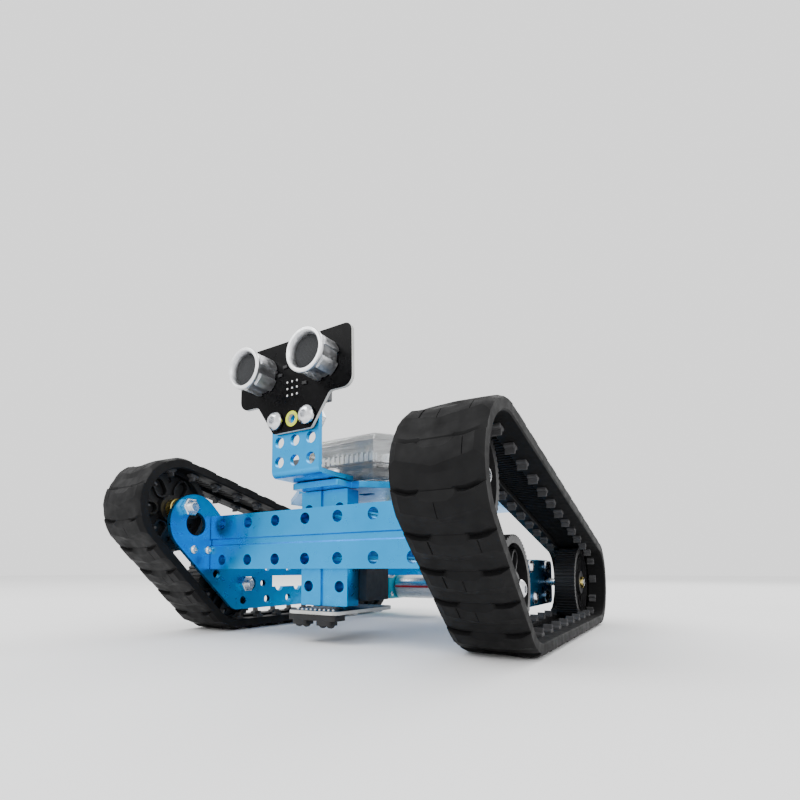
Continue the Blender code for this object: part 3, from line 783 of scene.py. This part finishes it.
def make_belt(side, sign):
    """The rubber belt with its block tread, as one closed skin."""
    name = "track_" + side
    pitch = LOOP.length / TREAD_BLOCKS
    rng = random.Random(11)
    columns = belt_columns()
    bm = bmesh.new()
    rings = []
    for block in range(TREAD_BLOCKS):
        lift = rng.uniform(-0.10, 0.0)
        slits = [rng.random() < 0.62 for _ in range(3)]
        jitter = rng.uniform(-0.15, 0.15)
        base = LOOP.front_run + FIRST_BLOCK + block * pitch + jitter
        profiles = [block_knots(u, pitch, u in SLITS and slits[SLITS[u]]) for u, radius in columns]
        middle = block_knots(10.0, pitch, False)
        for row in range(len(middle)):
            ring = []
            for (u, radius), knots in zip(columns, profiles):
                if radius is None:
                    distance, height = knots[row]
                    if height > 1.0:
                        height += lift
                else:
                    distance, height = middle[row][0], radius - BASE_R
                point, normal = LOOP.at(base + distance)
                spot = point + normal * height
                ring.append(bm.verts.new(Vector((sign * (BELT_MIDDLE + u), spot.x, spot.y)) * MM))
            rings.append(ring)
    rings.append(rings[0])
    add_faces(bm, rings, False)
    piece(name + "_belt", bm, RUBBER, nodes=[name], smooth=17)


def add_on_loop(bm, outline, distance, radius, near, far, sign):
    """A prism across the belt, on its inner face: the outline is (along the belt, inwards)."""
    point, normal = LOOP.at(distance)
    inward = -Vector((0.0, normal.x, normal.y))
    along = Vector((0.0, -normal.y, normal.x))
    base = Vector((0.0, point.x, point.y)) + inward * (BASE_R - radius)
    rings = []
    for x in (near, far):
        rings.append([bm.verts.new((base + X_AXIS * sign * x + along * p + inward * q) * MM)
                      for p, q in outline])
    add_faces(bm, rings, True)


def make_belt_lugs(side, sign):
    """Two rows of lugs with wide feet inside the belt, and the fine teeth of its channel."""
    pitch = LOOP.length / TREAD_BLOCKS
    lug = [(-2.1, -0.2), (2.1, -0.2), (2.1, 0.8), (1.7, 1.15), (0.5, 1.25), (0.4, 3.0), (-0.4, 3.0),
           (-0.5, 1.25), (-1.7, 1.15), (-2.1, 0.8)]
    bm = bmesh.new()
    for index in range(TREAD_BLOCKS):
        distance = LOOP.front_run + FIRST_BLOCK + pitch * (index + 0.55)
        add_on_loop(bm, lug, distance, BELT_R_LIP, 77.9, 81.3, sign)
        add_on_loop(bm, lug, distance, BELT_R_LIP, 61.7, 65.1, sign)
    # The lugs take the lighter rubber, a painted highlight, though they are the belt's own black rubber.
    piece("track_%s_lugs" % side, bm, LUG_RUBBER_PAINTED_LIGHT, bevel=0.12)
    tooth = [(-0.5, -0.1), (0.5, -0.1), (0.38, 0.3), (-0.38, 0.3)]
    teeth = bmesh.new()
    for index in range(BELT_TEETH):
        add_on_loop(teeth, tooth, LOOP.length * (index + 0.5) / BELT_TEETH, BELT_R_IN, 66.1, 76.9, sign)
    piece("track_%s_teeth" % side, teeth, RUBBER)


def gear_outline(teeth, root, tip):
    """A fine-toothed outline with four points a tooth."""
    points = []
    step = 2 * math.pi / teeth
    for i in range(teeth):
        for share, radius in ((0.0, root), (0.28, root), (0.42, tip), (0.86, tip)):
            angle = step * (i + share)
            points.append((radius * math.cos(angle), radius * math.sin(angle)))
    return points


def make_wheel(place, side, axle):
    """A timing pulley: toothed rim, web with ringed oval pockets, hub and boss."""
    name = "wheel_%s_%s" % (place, side)
    low, high = node_box(name)
    y, z = axle
    tip = (high.z - low.z) / 2
    bm = bmesh.new()
    rim = [shift(gear_outline(62, tip - 0.55, tip), y, z), shift(circle((0, 0), tip - 3.0, 72), y, z)]
    add_sheet(bm, rim, "X", low.x, high.x)
    petals = 6
    turns = [360 * i / petals for i in range(petals)]
    openings = [shift(turn(stadium((10.9, 0), 1.6, 2.3), angle), y, z) for angle in turns]
    small = [shift(circle((13.4 * math.cos(a), 13.4 * math.sin(a)), 1.25, 20), y, z)
             for a in [math.pi * (2 * i + 1) / petals for i in range(petals)]]
    web = [circle((y, z), tip - 2.9, 72), circle((y, z), 3.2, 32)]
    middle = (low.x + high.x) / 2
    add_sheet(bm, web, "X", middle - 0.35, middle + 0.35)
    for face in (-1.1, 1.1):
        add_sheet(bm, web + openings + small, "X", middle + face - 0.4, middle + face + 0.4)
    for opening, angle in zip(openings, turns):
        border = shift(turn(stadium((10.9, 0), 1.6, 3.2), angle), y, z)
        add_sheet(bm, [border, opening], "X", middle - 3.2, middle + 3.2)
    add_sheet(bm, [circle((y, z), 6.2, 40), circle((y, z), 3.25, 32)], "X", low.x, high.x)
    piece(name + "_pulley", bm, WHEEL, name, nodes=[name], bevel=0.12)


def make_drive_shaft(side, sign):
    """The motor's output shaft with its flat, and the collar that holds the rear wheel on it."""
    body = "wheel_rear_" + side
    low, high = node_box("drive_shaft_" + side)
    y, z = REAR_AXLE
    shaft = bmesh.new()
    add_prism(shaft, arc((0, 0), 2.0, 35, 325, 24), (low.x, y, z), Y_AXIS, Z_AXIS, 0.0, high.x - low.x)
    piece("drive_shaft_%s_flat" % side, shaft, STEEL, body, nodes=["drive_shaft_" + side], bevel=0.15)
    end = high.x if sign > 0 else low.x
    profile = [(-2.6, 3.1), (-2.6, 2.1), (0.0, 2.1), (0.0, 2.9), (-0.5, 3.1), (-2.6, 3.1)]
    turned_piece("drive_collar_" + side, profile, (end - sign * 0.6, y, z), sign * X_AXIS, 28, BRASS,
                 body=body)


def make_idler(place, side, sign, axle):
    """The fixed bolt and brass sleeve of an idler wheel."""
    y, z = axle
    name = "%s_%s" % (place, side)
    low, high = node_box("axle_bolt_" + name)
    outward = sign * X_AXIS
    end = high.x if sign > 0 else low.x
    start = low.x if sign > 0 else high.x
    bolt = bmesh.new()
    length = abs(end - start)
    add_lathe(bolt, [(0.0, 1.7), (0.3, 2.0), (length - 2.0, 2.0)], (start, y, z), outward, 24)
    add_screw_head(bolt, (end - sign * 2.3, y, z), outward, 3.5, 2.3)
    piece("axle_bolt_%s_turned" % name, bolt, STEEL, nodes=["axle_bolt_" + name])
    low, high = node_box("axle_sleeve_" + name)
    length = high.x - low.x
    collar = 4.45
    profile = [(0.0, 2.1), (length, 2.1), (length, 2.8), (7.9, 2.8), (7.9, collar - 0.3), (7.6, collar),
               (4.0, collar), (3.7, collar - 0.3), (3.7, 2.8), (0.0, 2.8), (0.0, 2.1)]
    start = low.x if sign > 0 else high.x
    turned_piece("axle_sleeve_%s_turned" % name, profile, (start, y, z), outward, 36, BRASS,
                 nodes=["axle_sleeve_" + name])


def make_motor(side, sign):
    """A geared motor: gearbox with its screws, and a flat-sided can with a band and a red stripe."""
    low, high = node_box("gearbox_" + side)
    inner = low.x if sign > 0 else high.x
    outline = rounded((low.y, low.z), (high.y, high.z), 3.0)
    sheet_piece("gearbox_%s_shell" % side, [outline, circle(REAR_AXLE, 2.9, 32)], "X", low.x, high.x, TEAL,
                nodes=["gearbox_" + side], bevel=0.7)
    trim = bmesh.new()
    for y in (low.y + 3.2, high.y - 3.2):
        for z in (low.z + 3.2, high.z - 3.2):
            add_screw_head(trim, (inner, y, z), -sign * X_AXIS, 1.5, 0.9)
    piece("gearbox_%s_screws" % side, trim, STEEL)
    low, high = node_box("motor_" + side)
    middle = node_middle("motor_" + side)
    radius = (high.z - low.z) / 2
    flat = (high.y - low.y) / 2 - radius
    length = high.x - low.x
    can = bmesh.new()
    start = (low.x, middle.y, middle.z)
    add_prism(can, stadium((0, 0), flat, radius), start, Y_AXIS, Z_AXIS, 0.0, length)
    piece("motor_%s_can" % side, can, CAN, nodes=["motor_" + side], bevel=0.8)
    ring = [stadium((middle.y, middle.z), flat, reach) for reach in (radius + 0.05, radius - 0.5)]
    start = (high.x if sign > 0 else low.x) - sign * length * 0.45
    near, far = sorted((start, start + sign * 1.6))
    sheet_piece("motor_%s_band" % side, ring, "X", near, far, CAN)
    front = middle.y - flat - radius
    stripe = [(front - 0.08, middle.z - 0.7), (front + 0.3, middle.z - 0.7),
              (front + 0.3, middle.z + 0.7), (front - 0.08, middle.z + 0.7)]
    sheet_piece("motor_%s_stripe" % side, [stripe], "X", low.x + 1.0, high.x - 1.0, RED)


def make_running_gear():
    idlers = (("upper", UPPER_AXLE), ("lower", LOWER_AXLE))
    for side, sign in SIDES:
        make_side_plate(side, sign)
        make_belt(side, sign)
        make_belt_lugs(side, sign)
        for place, axle in idlers:
            make_wheel(place, side, axle)
            make_idler(place, side, sign, axle)
        make_wheel("rear", side, REAR_AXLE)
        make_drive_shaft(side, sign)
        make_motor(side, sign)


# ---------------------------------------------------------------- distance sensor

def board_outline(top):
    """Wide board with rounded corners, waisted to a foot."""
    right = arc((8.8, 84.6), 1.6, -90, -35, 4)
    right += arc((19.6, 93.2), 2.4, 145, 90, 5)
    right += arc((24.4, 99.6), 4.0, -90, 0, 8)
    right += arc((25.2, top - 3.0), 3.0, 0, 90, 8)
    return right + [(-x, z) for x, z in reversed(right)]


def make_sensor_board():
    """The black board of the distance sensor, with its pad, solder points and small parts."""
    low, high = node_box("sensor_board")
    face = low.y
    holes = [circle((x, 87.9), 1.9, HOLE_STEPS) for x in (-8, 0, 8)]
    make_board("sensor_board", [board_outline(high.z)] + holes, "Y", low.y, high.y, "board_black",
               (("mask_front", low.y), ("mask_back", high.y - MASK_T)))
    ring = [circle((0, 87.9), 3.1, 40), circle((0, 87.9), 1.75, 32)]
    sheet_piece("sensor_board_pad", ring, "Y", face - 0.12, face + 0.05, PAD, bevel=0.04)
    dots = bmesh.new()
    for x in (-2.35, 0.15, 2.6):
        for z in (97.4, 100.1, 102.7):
            add_lathe(dots, [(0.0, 0.46), (0.2, 0.4), (0.34, 0.2), (0.36, 0.0)], (x, face, z), -Y_AXIS, 14)
    for eye in (-15.3, 15.3):
        for x in (eye - 2.5, eye + 2.5):
            add_lathe(dots, [(0.0, 0.7), (0.3, 0.5), (0.45, 0.0)], (x, high.y, 107.6), Y_AXIS, 14)
    for column in range(6):
        x = -5.0 + 2.0 * column
        add_lathe(dots, [(0.0, 0.5), (0.4, 0.3), (0.6, 0.0)], (x, high.y, 96.0), Y_AXIS, 12)
    piece("sensor_board_solder", dots, SOLDER)
    rear = ((14.5, 103.0, 5.0, 4.0), (-14.5, 101.0, 6.0, 3.8), (20.5, 112.0, 3.0, 2.0),
            (-21.5, 114.0, 2.0, 3.0), (10.6, 113.5, 2.0, 1.2), (-10.4, 114.5, 1.2, 2.0))
    front = ((-6.0, 106.3), (-8.6, 108.0), (-3.4, 109.2), (6.5, 100.8))
    chips = [(x, high.y + 0.55, z - tall / 2, wide, 1.1, tall) for x, z, wide, tall in rear]
    chips += [(x, face - 0.25, z - 0.6, 2.2, 0.5, 1.2) for x, z in front]
    block_piece("sensor_board_chips", chips, BLACK, bevel=0.12)


def make_transducer(side):
    """A flanged shell with a fluted skirt, and a gauze disc deep in its mouth."""
    name = "transducer_" + side
    low, high = node_box(name)
    middle = node_middle(name)
    rear = (middle.x, high.y, middle.z)
    rim = (high.z - low.z) / 2
    depth = high.y - low.y
    shell = bmesh.new()
    profile = [(0.0, 0.0), (0.0, 6.1), (0.0, 6.85), (depth - 3.4, 6.85), (depth - 1.9, 7.5),
               (depth - 1.5, rim - 0.1), (depth - 1.1, rim), (depth - 0.35, rim), (depth, rim - 0.35),
               (depth, 7.0), (depth - 0.5, 6.6), (depth - 3.0, 6.3), (depth - 3.0, 0.0)]
    add_lathe(shell, profile, rear, -Y_AXIS, 56)
    for lobe in range(5):
        start = 30 + 72 * lobe
        outline = arc((0, 0), 7.9, start - 19, start + 19, 8) + arc((0, 0), 6.4, start + 22, start - 22, 8)
        add_prism(shell, outline, rear, X_AXIS, Z_AXIS, 0.0, depth - 3.2, 0.965)
    piece(name + "_shell", shell, SHELL, nodes=[name], bevel=0.12, smooth=40)
    angles = [math.radians(degrees) for degrees in range(15, 91, 15)]
    dome = [(0.0, 6.35), (0.25, 6.2)] + [(0.25 + 0.55 * math.sin(t), 6.2 * math.cos(t)) for t in angles]
    turned_piece(name + "_gauze", dome, (middle.x, low.y + 2.95, middle.z), -Y_AXIS, 48, GAUZE)


def make_sensor():
    make_sensor_board()
    bracket_rear = node_box("sensor_bracket")[0].y + 2.0
    for side, _ in SIDES:
        make_transducer(side)
        low, high = node_box("board_screw_" + side)
        middle = node_middle("board_screw_" + side)
        screw = bmesh.new()
        add_lathe(screw, [(0.0, 1.6), (0.3, 1.95), (6.6, 1.95)], (middle.x, high.y, middle.z), -Y_AXIS, 24)
        add_screw_head(screw, (middle.x, low.y + 2.4, middle.z), -Y_AXIS, 3.7, 2.4)
        piece("board_screw_%s_turned" % side, screw, STEEL, nodes=["board_screw_" + side])
        nut = bmesh.new()
        add_nut(nut, (middle.x, bracket_rear, middle.z), Y_AXIS)
        piece("board_nut_" + side, nut, STEEL, bevel=0.12)
    make_socket("sensor_socket", LABEL_GREEN)


def make_socket(name, label):
    """A modular socket behind the board: shell, mouth with contacts, and a coloured label on top."""
    low, high = node_box(name)
    bm = bmesh.new()
    add_box(bm, low, high)
    shell = piece(name + "_shell", bm, GREY, nodes=[name], bevel=0.4)
    mouth = bmesh.new()
    add_box(mouth, (-4.9, low.y + 5, low.z + 2.8), (4.9, high.y + 5, high.z - 2.8))
    notch = bmesh.new()
    add_box(notch, (-1.7, low.y + 5, low.z + 1.2), (1.7, high.y + 5, low.z + 3.4))
    boolean(shell, [mouth, notch])
    tag = bmesh.new()
    add_box(tag, (low.x + 1.4, low.y + 2, high.z - 0.25), (high.x - 1.4, high.y - 3, high.z - 0.02))
    piece(name + "_label", tag, label, bevel=0.08)
    deep = high.y - low.y - 7.7
    pins = [(-3.1 + 1.24 * i, low.y + 5.2 + deep / 2, high.z - 4.0, 0.4, deep, 0.6) for i in range(6)]
    block_piece(name + "_contacts", pins, BRASS, bevel=0.06)


def make_line_sensor():
    """The small board under the post, with two optical heads that look down."""
    low, high = node_box("line_board")
    outline = rounded((low.x, low.y), (high.x, high.y), 3.0)
    make_board("line_board", [outline], "Z", low.z, high.z, "board_pale",
               (("mask_top", high.z - MASK_T), ("mask_bottom", low.z)))
    pins = bmesh.new()
    for i in range(9):
        place = (-9.0 + 2.25 * i, low.y + 3.0, high.z)
        add_lathe(pins, [(0.0, 0.55), (0.5, 0.45), (0.7, 0.0)], place, Z_AXIS, 12)
    for x in (-7.5, 7.5):
        for y in (-42.0, -22.0):
            add_screw_head(pins, (x, y, low.z), -Z_AXIS, 2.2, 1.3)
    piece("line_board_solder", pins, SOLDER)
    base_low, base_high = node_box("line_head_left")
    outline = rounded((-12.0, base_low.y + 0.3), (12.0, base_high.y + 2.0), 1.6)
    sheet_piece("line_head_housing", [outline], "Z", base_low.z + 3.0, low.z, BLACK, bevel=0.5)
    angles = [math.radians(degrees) for degrees in range(20, 91, 14)]
    dome = [(0.0, 1.75), (0.5, 1.7)] + [(0.5 + 1.2 * math.sin(t), 1.65 * math.cos(t)) for t in angles]
    for side, _ in SIDES:
        name = "line_head_" + side
        low, high = node_box(name)
        middle = node_middle(name)
        head = bmesh.new()
        outline = rounded((low.x + 0.1, low.y + 0.2), (high.x - 0.1, high.y - 0.2), 1.5)
        add_sheet(head, [outline], "Z", low.z + 1.2, low.z + 3.4)
        for x in (middle.x - 1.9, middle.x + 1.9):
            add_lathe(head, dome, (x, middle.y, low.z + 1.7), -Z_AXIS, 24)
        piece(name + "_eyes", head, BLACK, nodes=[name], bevel=0.25)


# ---------------------------------------------------------------- battery holder

def make_battery():
    """A holder with a lid, and its two cells, which keep their CAD shapes."""
    low, high = node_box("battery_tray")
    bm = bmesh.new()
    add_box(bm, low, high)
    tray = piece("battery_tray_shell", bm, BLACK, nodes=["battery_tray"], bevel=0.5)
    inside = bmesh.new()
    add_box(inside, low + Vector((1, 1, 1)), high + Vector((-1, -1, 3)))
    grooves = bmesh.new()
    for x in (-8.0, 8.0):
        add_box(grooves, (x - 0.3, high.y - 0.4, low.z + 3), (x + 0.3, high.y + 1, high.z - 4))
    boolean(tray, [inside, grooves])
    low, high = node_box("battery_lid")
    outline = rounded((low.x, low.y), (high.x, high.y), 2.0)
    sheet_piece("battery_lid_cover", [outline], "Z", low.z, high.z, BLACK, nodes=["battery_lid"], bevel=0.4)
    for name in ("battery_cell_1", "battery_cell_2"):
        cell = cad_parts[name]
        cell.data.materials.clear()
        cell.data.materials.append(CELL)


# ---------------------------------------------------------------- controller

LAMP_RING_Y = 10.0             # middle of the ring of lamps on the circuit board


def case_outline(low, high, inset):
    """The case's plan: long, with its corners cut off."""
    half = high.x - inset
    front = low.y + inset
    rear = high.y - inset
    nose = 20.0 - inset * 0.4
    return [(-nose, front), (nose, front), (half, front + 22), (half, rear - 22), (nose, rear),
            (-nose, rear), (-half, rear - 22), (-half, front + 22)]


def add_shell(bm, low, high, levels, wall):
    """A case half: (height, inset) levels of the outside, then the same walls from the inside."""
    top, inset = levels[-1]
    end = 1 if top > levels[0][0] else -1
    inner = [(height, outer + wall) for height, outer in levels[:-1]] + [(top - end * wall, inset + wall)]
    skins = []
    for skin in (levels, inner):
        rings = [[bm.verts.new(Vector((x, y, height)) * MM) for x, y in case_outline(low, high, inset)]
                 for height, inset in skin]
        skins.append(rings)
    outside, inside = skins
    add_faces(bm, outside, False)
    add_faces(bm, inside, False)
    add_faces(bm, [outside[0], inside[0]], False)
    bm.faces.new(outside[-1])
    bm.faces.new(inside[-1])


def make_case():
    """The clear case: shallow base, and a cover with stepped edges, ridges and socket windows."""
    base_low, base_high = node_box("case_base")
    bm = bmesh.new()
    levels = [(base_high.z, 0.0), (base_low.z + 2.4, 0.0), (base_low.z + 1.0, 0.5), (base_low.z, 1.6)]
    add_shell(bm, base_low, base_high, levels, 1.5)
    for x in (-30.0, 30.0):
        for y in (-18.0, 38.0):
            add_lathe(bm, [(0.0, 3.0), (3.2, 2.4)], (x, y, base_low.z + 1.6), Z_AXIS, 20)
    piece("case_base_shell", bm, CLEAR, nodes=["case_base"], bevel=0.25)
    low, high = node_box("case_cover")
    bm = bmesh.new()
    levels = [(low.z, 0.0), (low.z + 1.2, 0.0), (low.z + 1.3, 0.45), (high.z - 3.6, 0.6), (high.z - 1.0, 2.6),
              (high.z, 4.2)]
    add_shell(bm, low, high, levels, 1.5)
    cover = piece("case_cover_shell", bm, CLEAR, nodes=["case_cover"], bevel=0.2)
    bank_low, bank_high = node_box("port_bank_left")
    cuts = bmesh.new()
    for sign in (-1, 1):
        x0, x1 = sorted((sign * 24.2, sign * 46.0))
        add_box(cuts, (x0, bank_low.y - 0.7, low.z - 4), (x1, bank_high.y + 0.7, bank_high.z + 0.5))
    holes = bmesh.new()
    for sign in (-1, 1):
        add_lathe(holes, [(-4, 2.5), (4, 2.5)], (sign * 9.0, 50.0, high.z), Z_AXIS, 32)
    slot = bmesh.new()
    switch_low, switch_high = node_box("power_switch")
    add_box(slot, (-5.0, high.y - 6, switch_low.z - 0.4), (5.0, high.y + 4, switch_high.z + 0.4))
    bmesh.ops.recalc_face_normals(holes, faces=holes.faces)
    boolean(cover, [cuts, holes, slot])
    ridges = [(0.0, -30.0 + 10.0 * i, high.z - 1.6, 38.0, 1.4, 1.58) for i in range(7)]
    block_piece("case_cover_ridges", ridges, CLEAR, bevel=0.4)


def make_port_bank(side, sign):
    """Five modular sockets in a row, each with contacts and a coloured label."""
    name = "port_bank_" + side
    low, high = node_box(name)
    bm = bmesh.new()
    add_box(bm, low, high)
    bank = piece(name + "_shell", bm, GREY, nodes=[name], bevel=0.3)
    face = high.x if sign > 0 else low.x
    pitch = (high.y - low.y) / 5
    mouths = bmesh.new()
    pins = []
    labels = {"green": [], "teal": []}
    for index in range(5):
        middle = low.y + pitch * (index + 0.5)
        near, far = sorted((face - sign * 9.4, face + sign * 5))
        add_box(mouths, (near, middle - 5.0, low.z + 1.6), (far, middle + 5.0, low.z + 8.6))
        word = ("green", "teal")[index % 2]
        near, far = sorted((face - sign * 8, min(face, face - sign)))
        labels[word].append(((near + far) / 2, middle, high.z - 0.2, far - near, 10.4, 0.32))
        for pin in range(6):
            y = middle - 3.1 + 1.24 * pin
            pins.append((face - sign * 5.85, y, low.z + 7.2, 6.7, 0.4, 0.6))
    boolean(bank, [mouths])
    block_piece(name + "_contacts", pins, BRASS, bevel=0.06)
    for word, color in (("green", LABEL_GREEN), ("teal", LABEL_TEAL)):
        block_piece("%s_labels_%s" % (name, word), labels[word], color, bevel=0.06)


def make_circuit_board():
    """The board in the case, with chips, headers, a ring of lamps and small parts."""
    low, high = node_box("circuit_board")
    sheet_piece("circuit_board_laminate", [case_outline(low, high, 0.0)], "Z", low.z, high.z, MASK,
                nodes=["circuit_board"], bevel=0.1)
    top = high.z
    chips = [(x, y, top, wide, deep, tall) for x, y, wide, deep, tall in (
        (0, 34, 12, 12, 1.6), (-13, -14, 9, 6, 1.4), (13, -14, 9, 6, 1.4), (0, -22, 8, 8, 1.5),
        (-14, 30, 6, 4, 1.2), (14, 30, 6, 4, 1.2), (0, 10, 7, 7, 1.4), (9, 50, 6, 6, 9.0),
        (-9, 50, 6, 6, 9.0))]
    block_piece("circuit_board_chips", chips, BLACK, bevel=0.2)
    pins = [(-16.5 + 2.54 * i, y, top, 0.64, 0.64, 6.5) for i in range(14) for y in (-40.6, -38.1)]
    block_piece("circuit_board_pins", pins, SOLDER, bevel=0.08)
    block_piece("circuit_board_header", [(0.0, -39.35, top, 36.8, 5.3, 2.4)], BLACK, bevel=0.25)
    angles = [math.pi * i / 6 for i in range(12)]
    lamps = [(16.0 * math.cos(a), LAMP_RING_Y + 16.0 * math.sin(a), top, 4.0, 4.0, 1.5) for a in angles]
    block_piece("circuit_board_lamps", lamps, WHITE, bevel=0.2)
    parts = [(x, -33.3, top + 0.2, 5.2, 3.4, 2.8) for x in (-9.0, 8.5)]
    block_piece("circuit_board_orange_parts", parts, ORANGE, bevel=0.9)
    cans = bmesh.new()
    for x, y in ((-19.0, -32.0), (19.5, -32.0), (-17.0, 48.0), (17.0, 48.0)):
        add_lathe(cans, [(0.0, 3.2), (5.5, 3.2), (6.0, 2.8)], (x, y, top), Z_AXIS, 24)
    piece("circuit_board_capacitors", cans, SHELL, bevel=0.2)
    small = []
    rng = random.Random(5)
    for _ in range(60):
        x = rng.uniform(-20, 20)
        y = rng.uniform(-30, 55)
        if not 13 <= math.hypot(x, y - LAMP_RING_Y) <= 19:
            wide, deep = rng.choice(((1.6, 0.8), (0.8, 1.6), (2.0, 1.2)))
            small.append((x, y, top, wide, deep, 0.7))
    block_piece("circuit_board_small_parts", small, LAMINATE, bevel=0.1)


def make_controls():
    """The two buttons and the ribbed knob of the power switch."""
    for side, _ in SIDES:
        name = "button_" + side
        low, high = node_box(name)
        middle = node_middle(name)
        tall = high.z - low.z
        profile = [(0.0, 2.7), (0.3, 3.0), (1.8, 3.0), (2.0, 2.8), (2.0, 2.2), (tall - 0.5, 2.2),
                   (tall - 0.1, 2.0), (tall, 1.6), (tall, 0.0)]
        turned_piece(name + "_cap", profile, (middle.x, middle.y, low.z), Z_AXIS, 32, BLACK,
                     body=name, nodes=[name])
    low, high = node_box("power_switch")
    bm = bmesh.new()
    add_box(bm, low, high)
    knob = piece("power_switch_knob", bm, BLACK, "power_switch", nodes=["power_switch"], bevel=0.35)
    ribs = bmesh.new()
    for i in range(3):
        z = low.z + 0.75 + 0.75 * i
        add_box(ribs, (low.x - 1, high.y - 0.35, z - 0.15), (high.x + 1, high.y + 1, z + 0.15))
    boolean(knob, [ribs])


# ---------------------------------------------------------------- stage

def make_stage():
    """A pale floor and soft studio light."""
    half = 3000.0
    bm = bmesh.new()
    bmesh.ops.create_grid(bm, x_segments=2, y_segments=2, size=half * MM)
    mesh = bpy.data.meshes.new("floor")
    bm.to_mesh(mesh)
    bm.free()
    floor = bpy.data.objects.new("floor", mesh)
    floor.location = (0, 0, -0.00005)
    mat = new_material("floor_paper", (0.9, 0.9, 0.9), 0.9)
    vary_color(mat, (0.89, 0.89, 0.89), (0.91, 0.91, 0.91), 6.0)
    mesh.materials.append(mat)
    bpy.context.scene.collection.objects.link(floor)
    world = bpy.data.worlds.new("studio")
    world.use_nodes = True
    sky = world.node_tree.nodes["Background"]
    sky.inputs["Color"].default_value = (1.0, 1.0, 1.0, 1.0)
    sky.inputs["Strength"].default_value = 1.5
    bpy.context.scene.world = world
    target = Vector((0, 0, 0.05))
    lamps = (("key", (-0.5, -0.75, 0.9), 0.7, 9.0), ("fill", (0.9, -0.5, 0.5), 0.8, 4.0),
             ("back", (0.2, 0.9, 0.8), 0.7, 5.0))
    for name, place, size, power in lamps:
        data = bpy.data.lights.new(name, "AREA")
        data.shape = "DISK"
        data.size = size
        data.energy = power
        lamp = bpy.data.objects.new(name, data)
        lamp.location = place
        lamp.rotation_euler = (Vector(place) - target).to_track_quat("Z", "Y").to_euler()
        bpy.context.scene.collection.objects.link(lamp)


def make_camera():
    """The viewpoint: low, in front of the robot's left corner."""
    data = bpy.data.cameras.new("camera")
    data.sensor_width = 36.0
    data.lens = 22.46
    data.shift_x = 0.0459
    data.shift_y = 0.1656
    data.clip_start = 0.005
    azimuth = math.radians(33.4)
    elevation = math.radians(4.33)
    ahead = Vector((-math.sin(azimuth) * math.cos(elevation), math.cos(azimuth) * math.cos(elevation),
                    math.sin(elevation)))
    camera = bpy.data.objects.new("camera", data)
    camera.location = Vector((127.9, -216.8, 29.1)) * MM
    camera.rotation_euler = (-ahead).to_track_quat("Z", "Y").to_euler()
    bpy.context.scene.collection.objects.link(camera)
    bpy.context.scene.camera = camera


def main():
    make_camera()
    make_beams()
    make_top_plate()
    make_sensor_bracket()
    make_frame_screws()
    make_running_gear()
    make_sensor()
    make_line_sensor()
    make_battery()
    make_case()
    for side, sign in SIDES:
        make_port_bank(side, sign)
    make_circuit_board()
    make_controls()
    make_stage()


main()
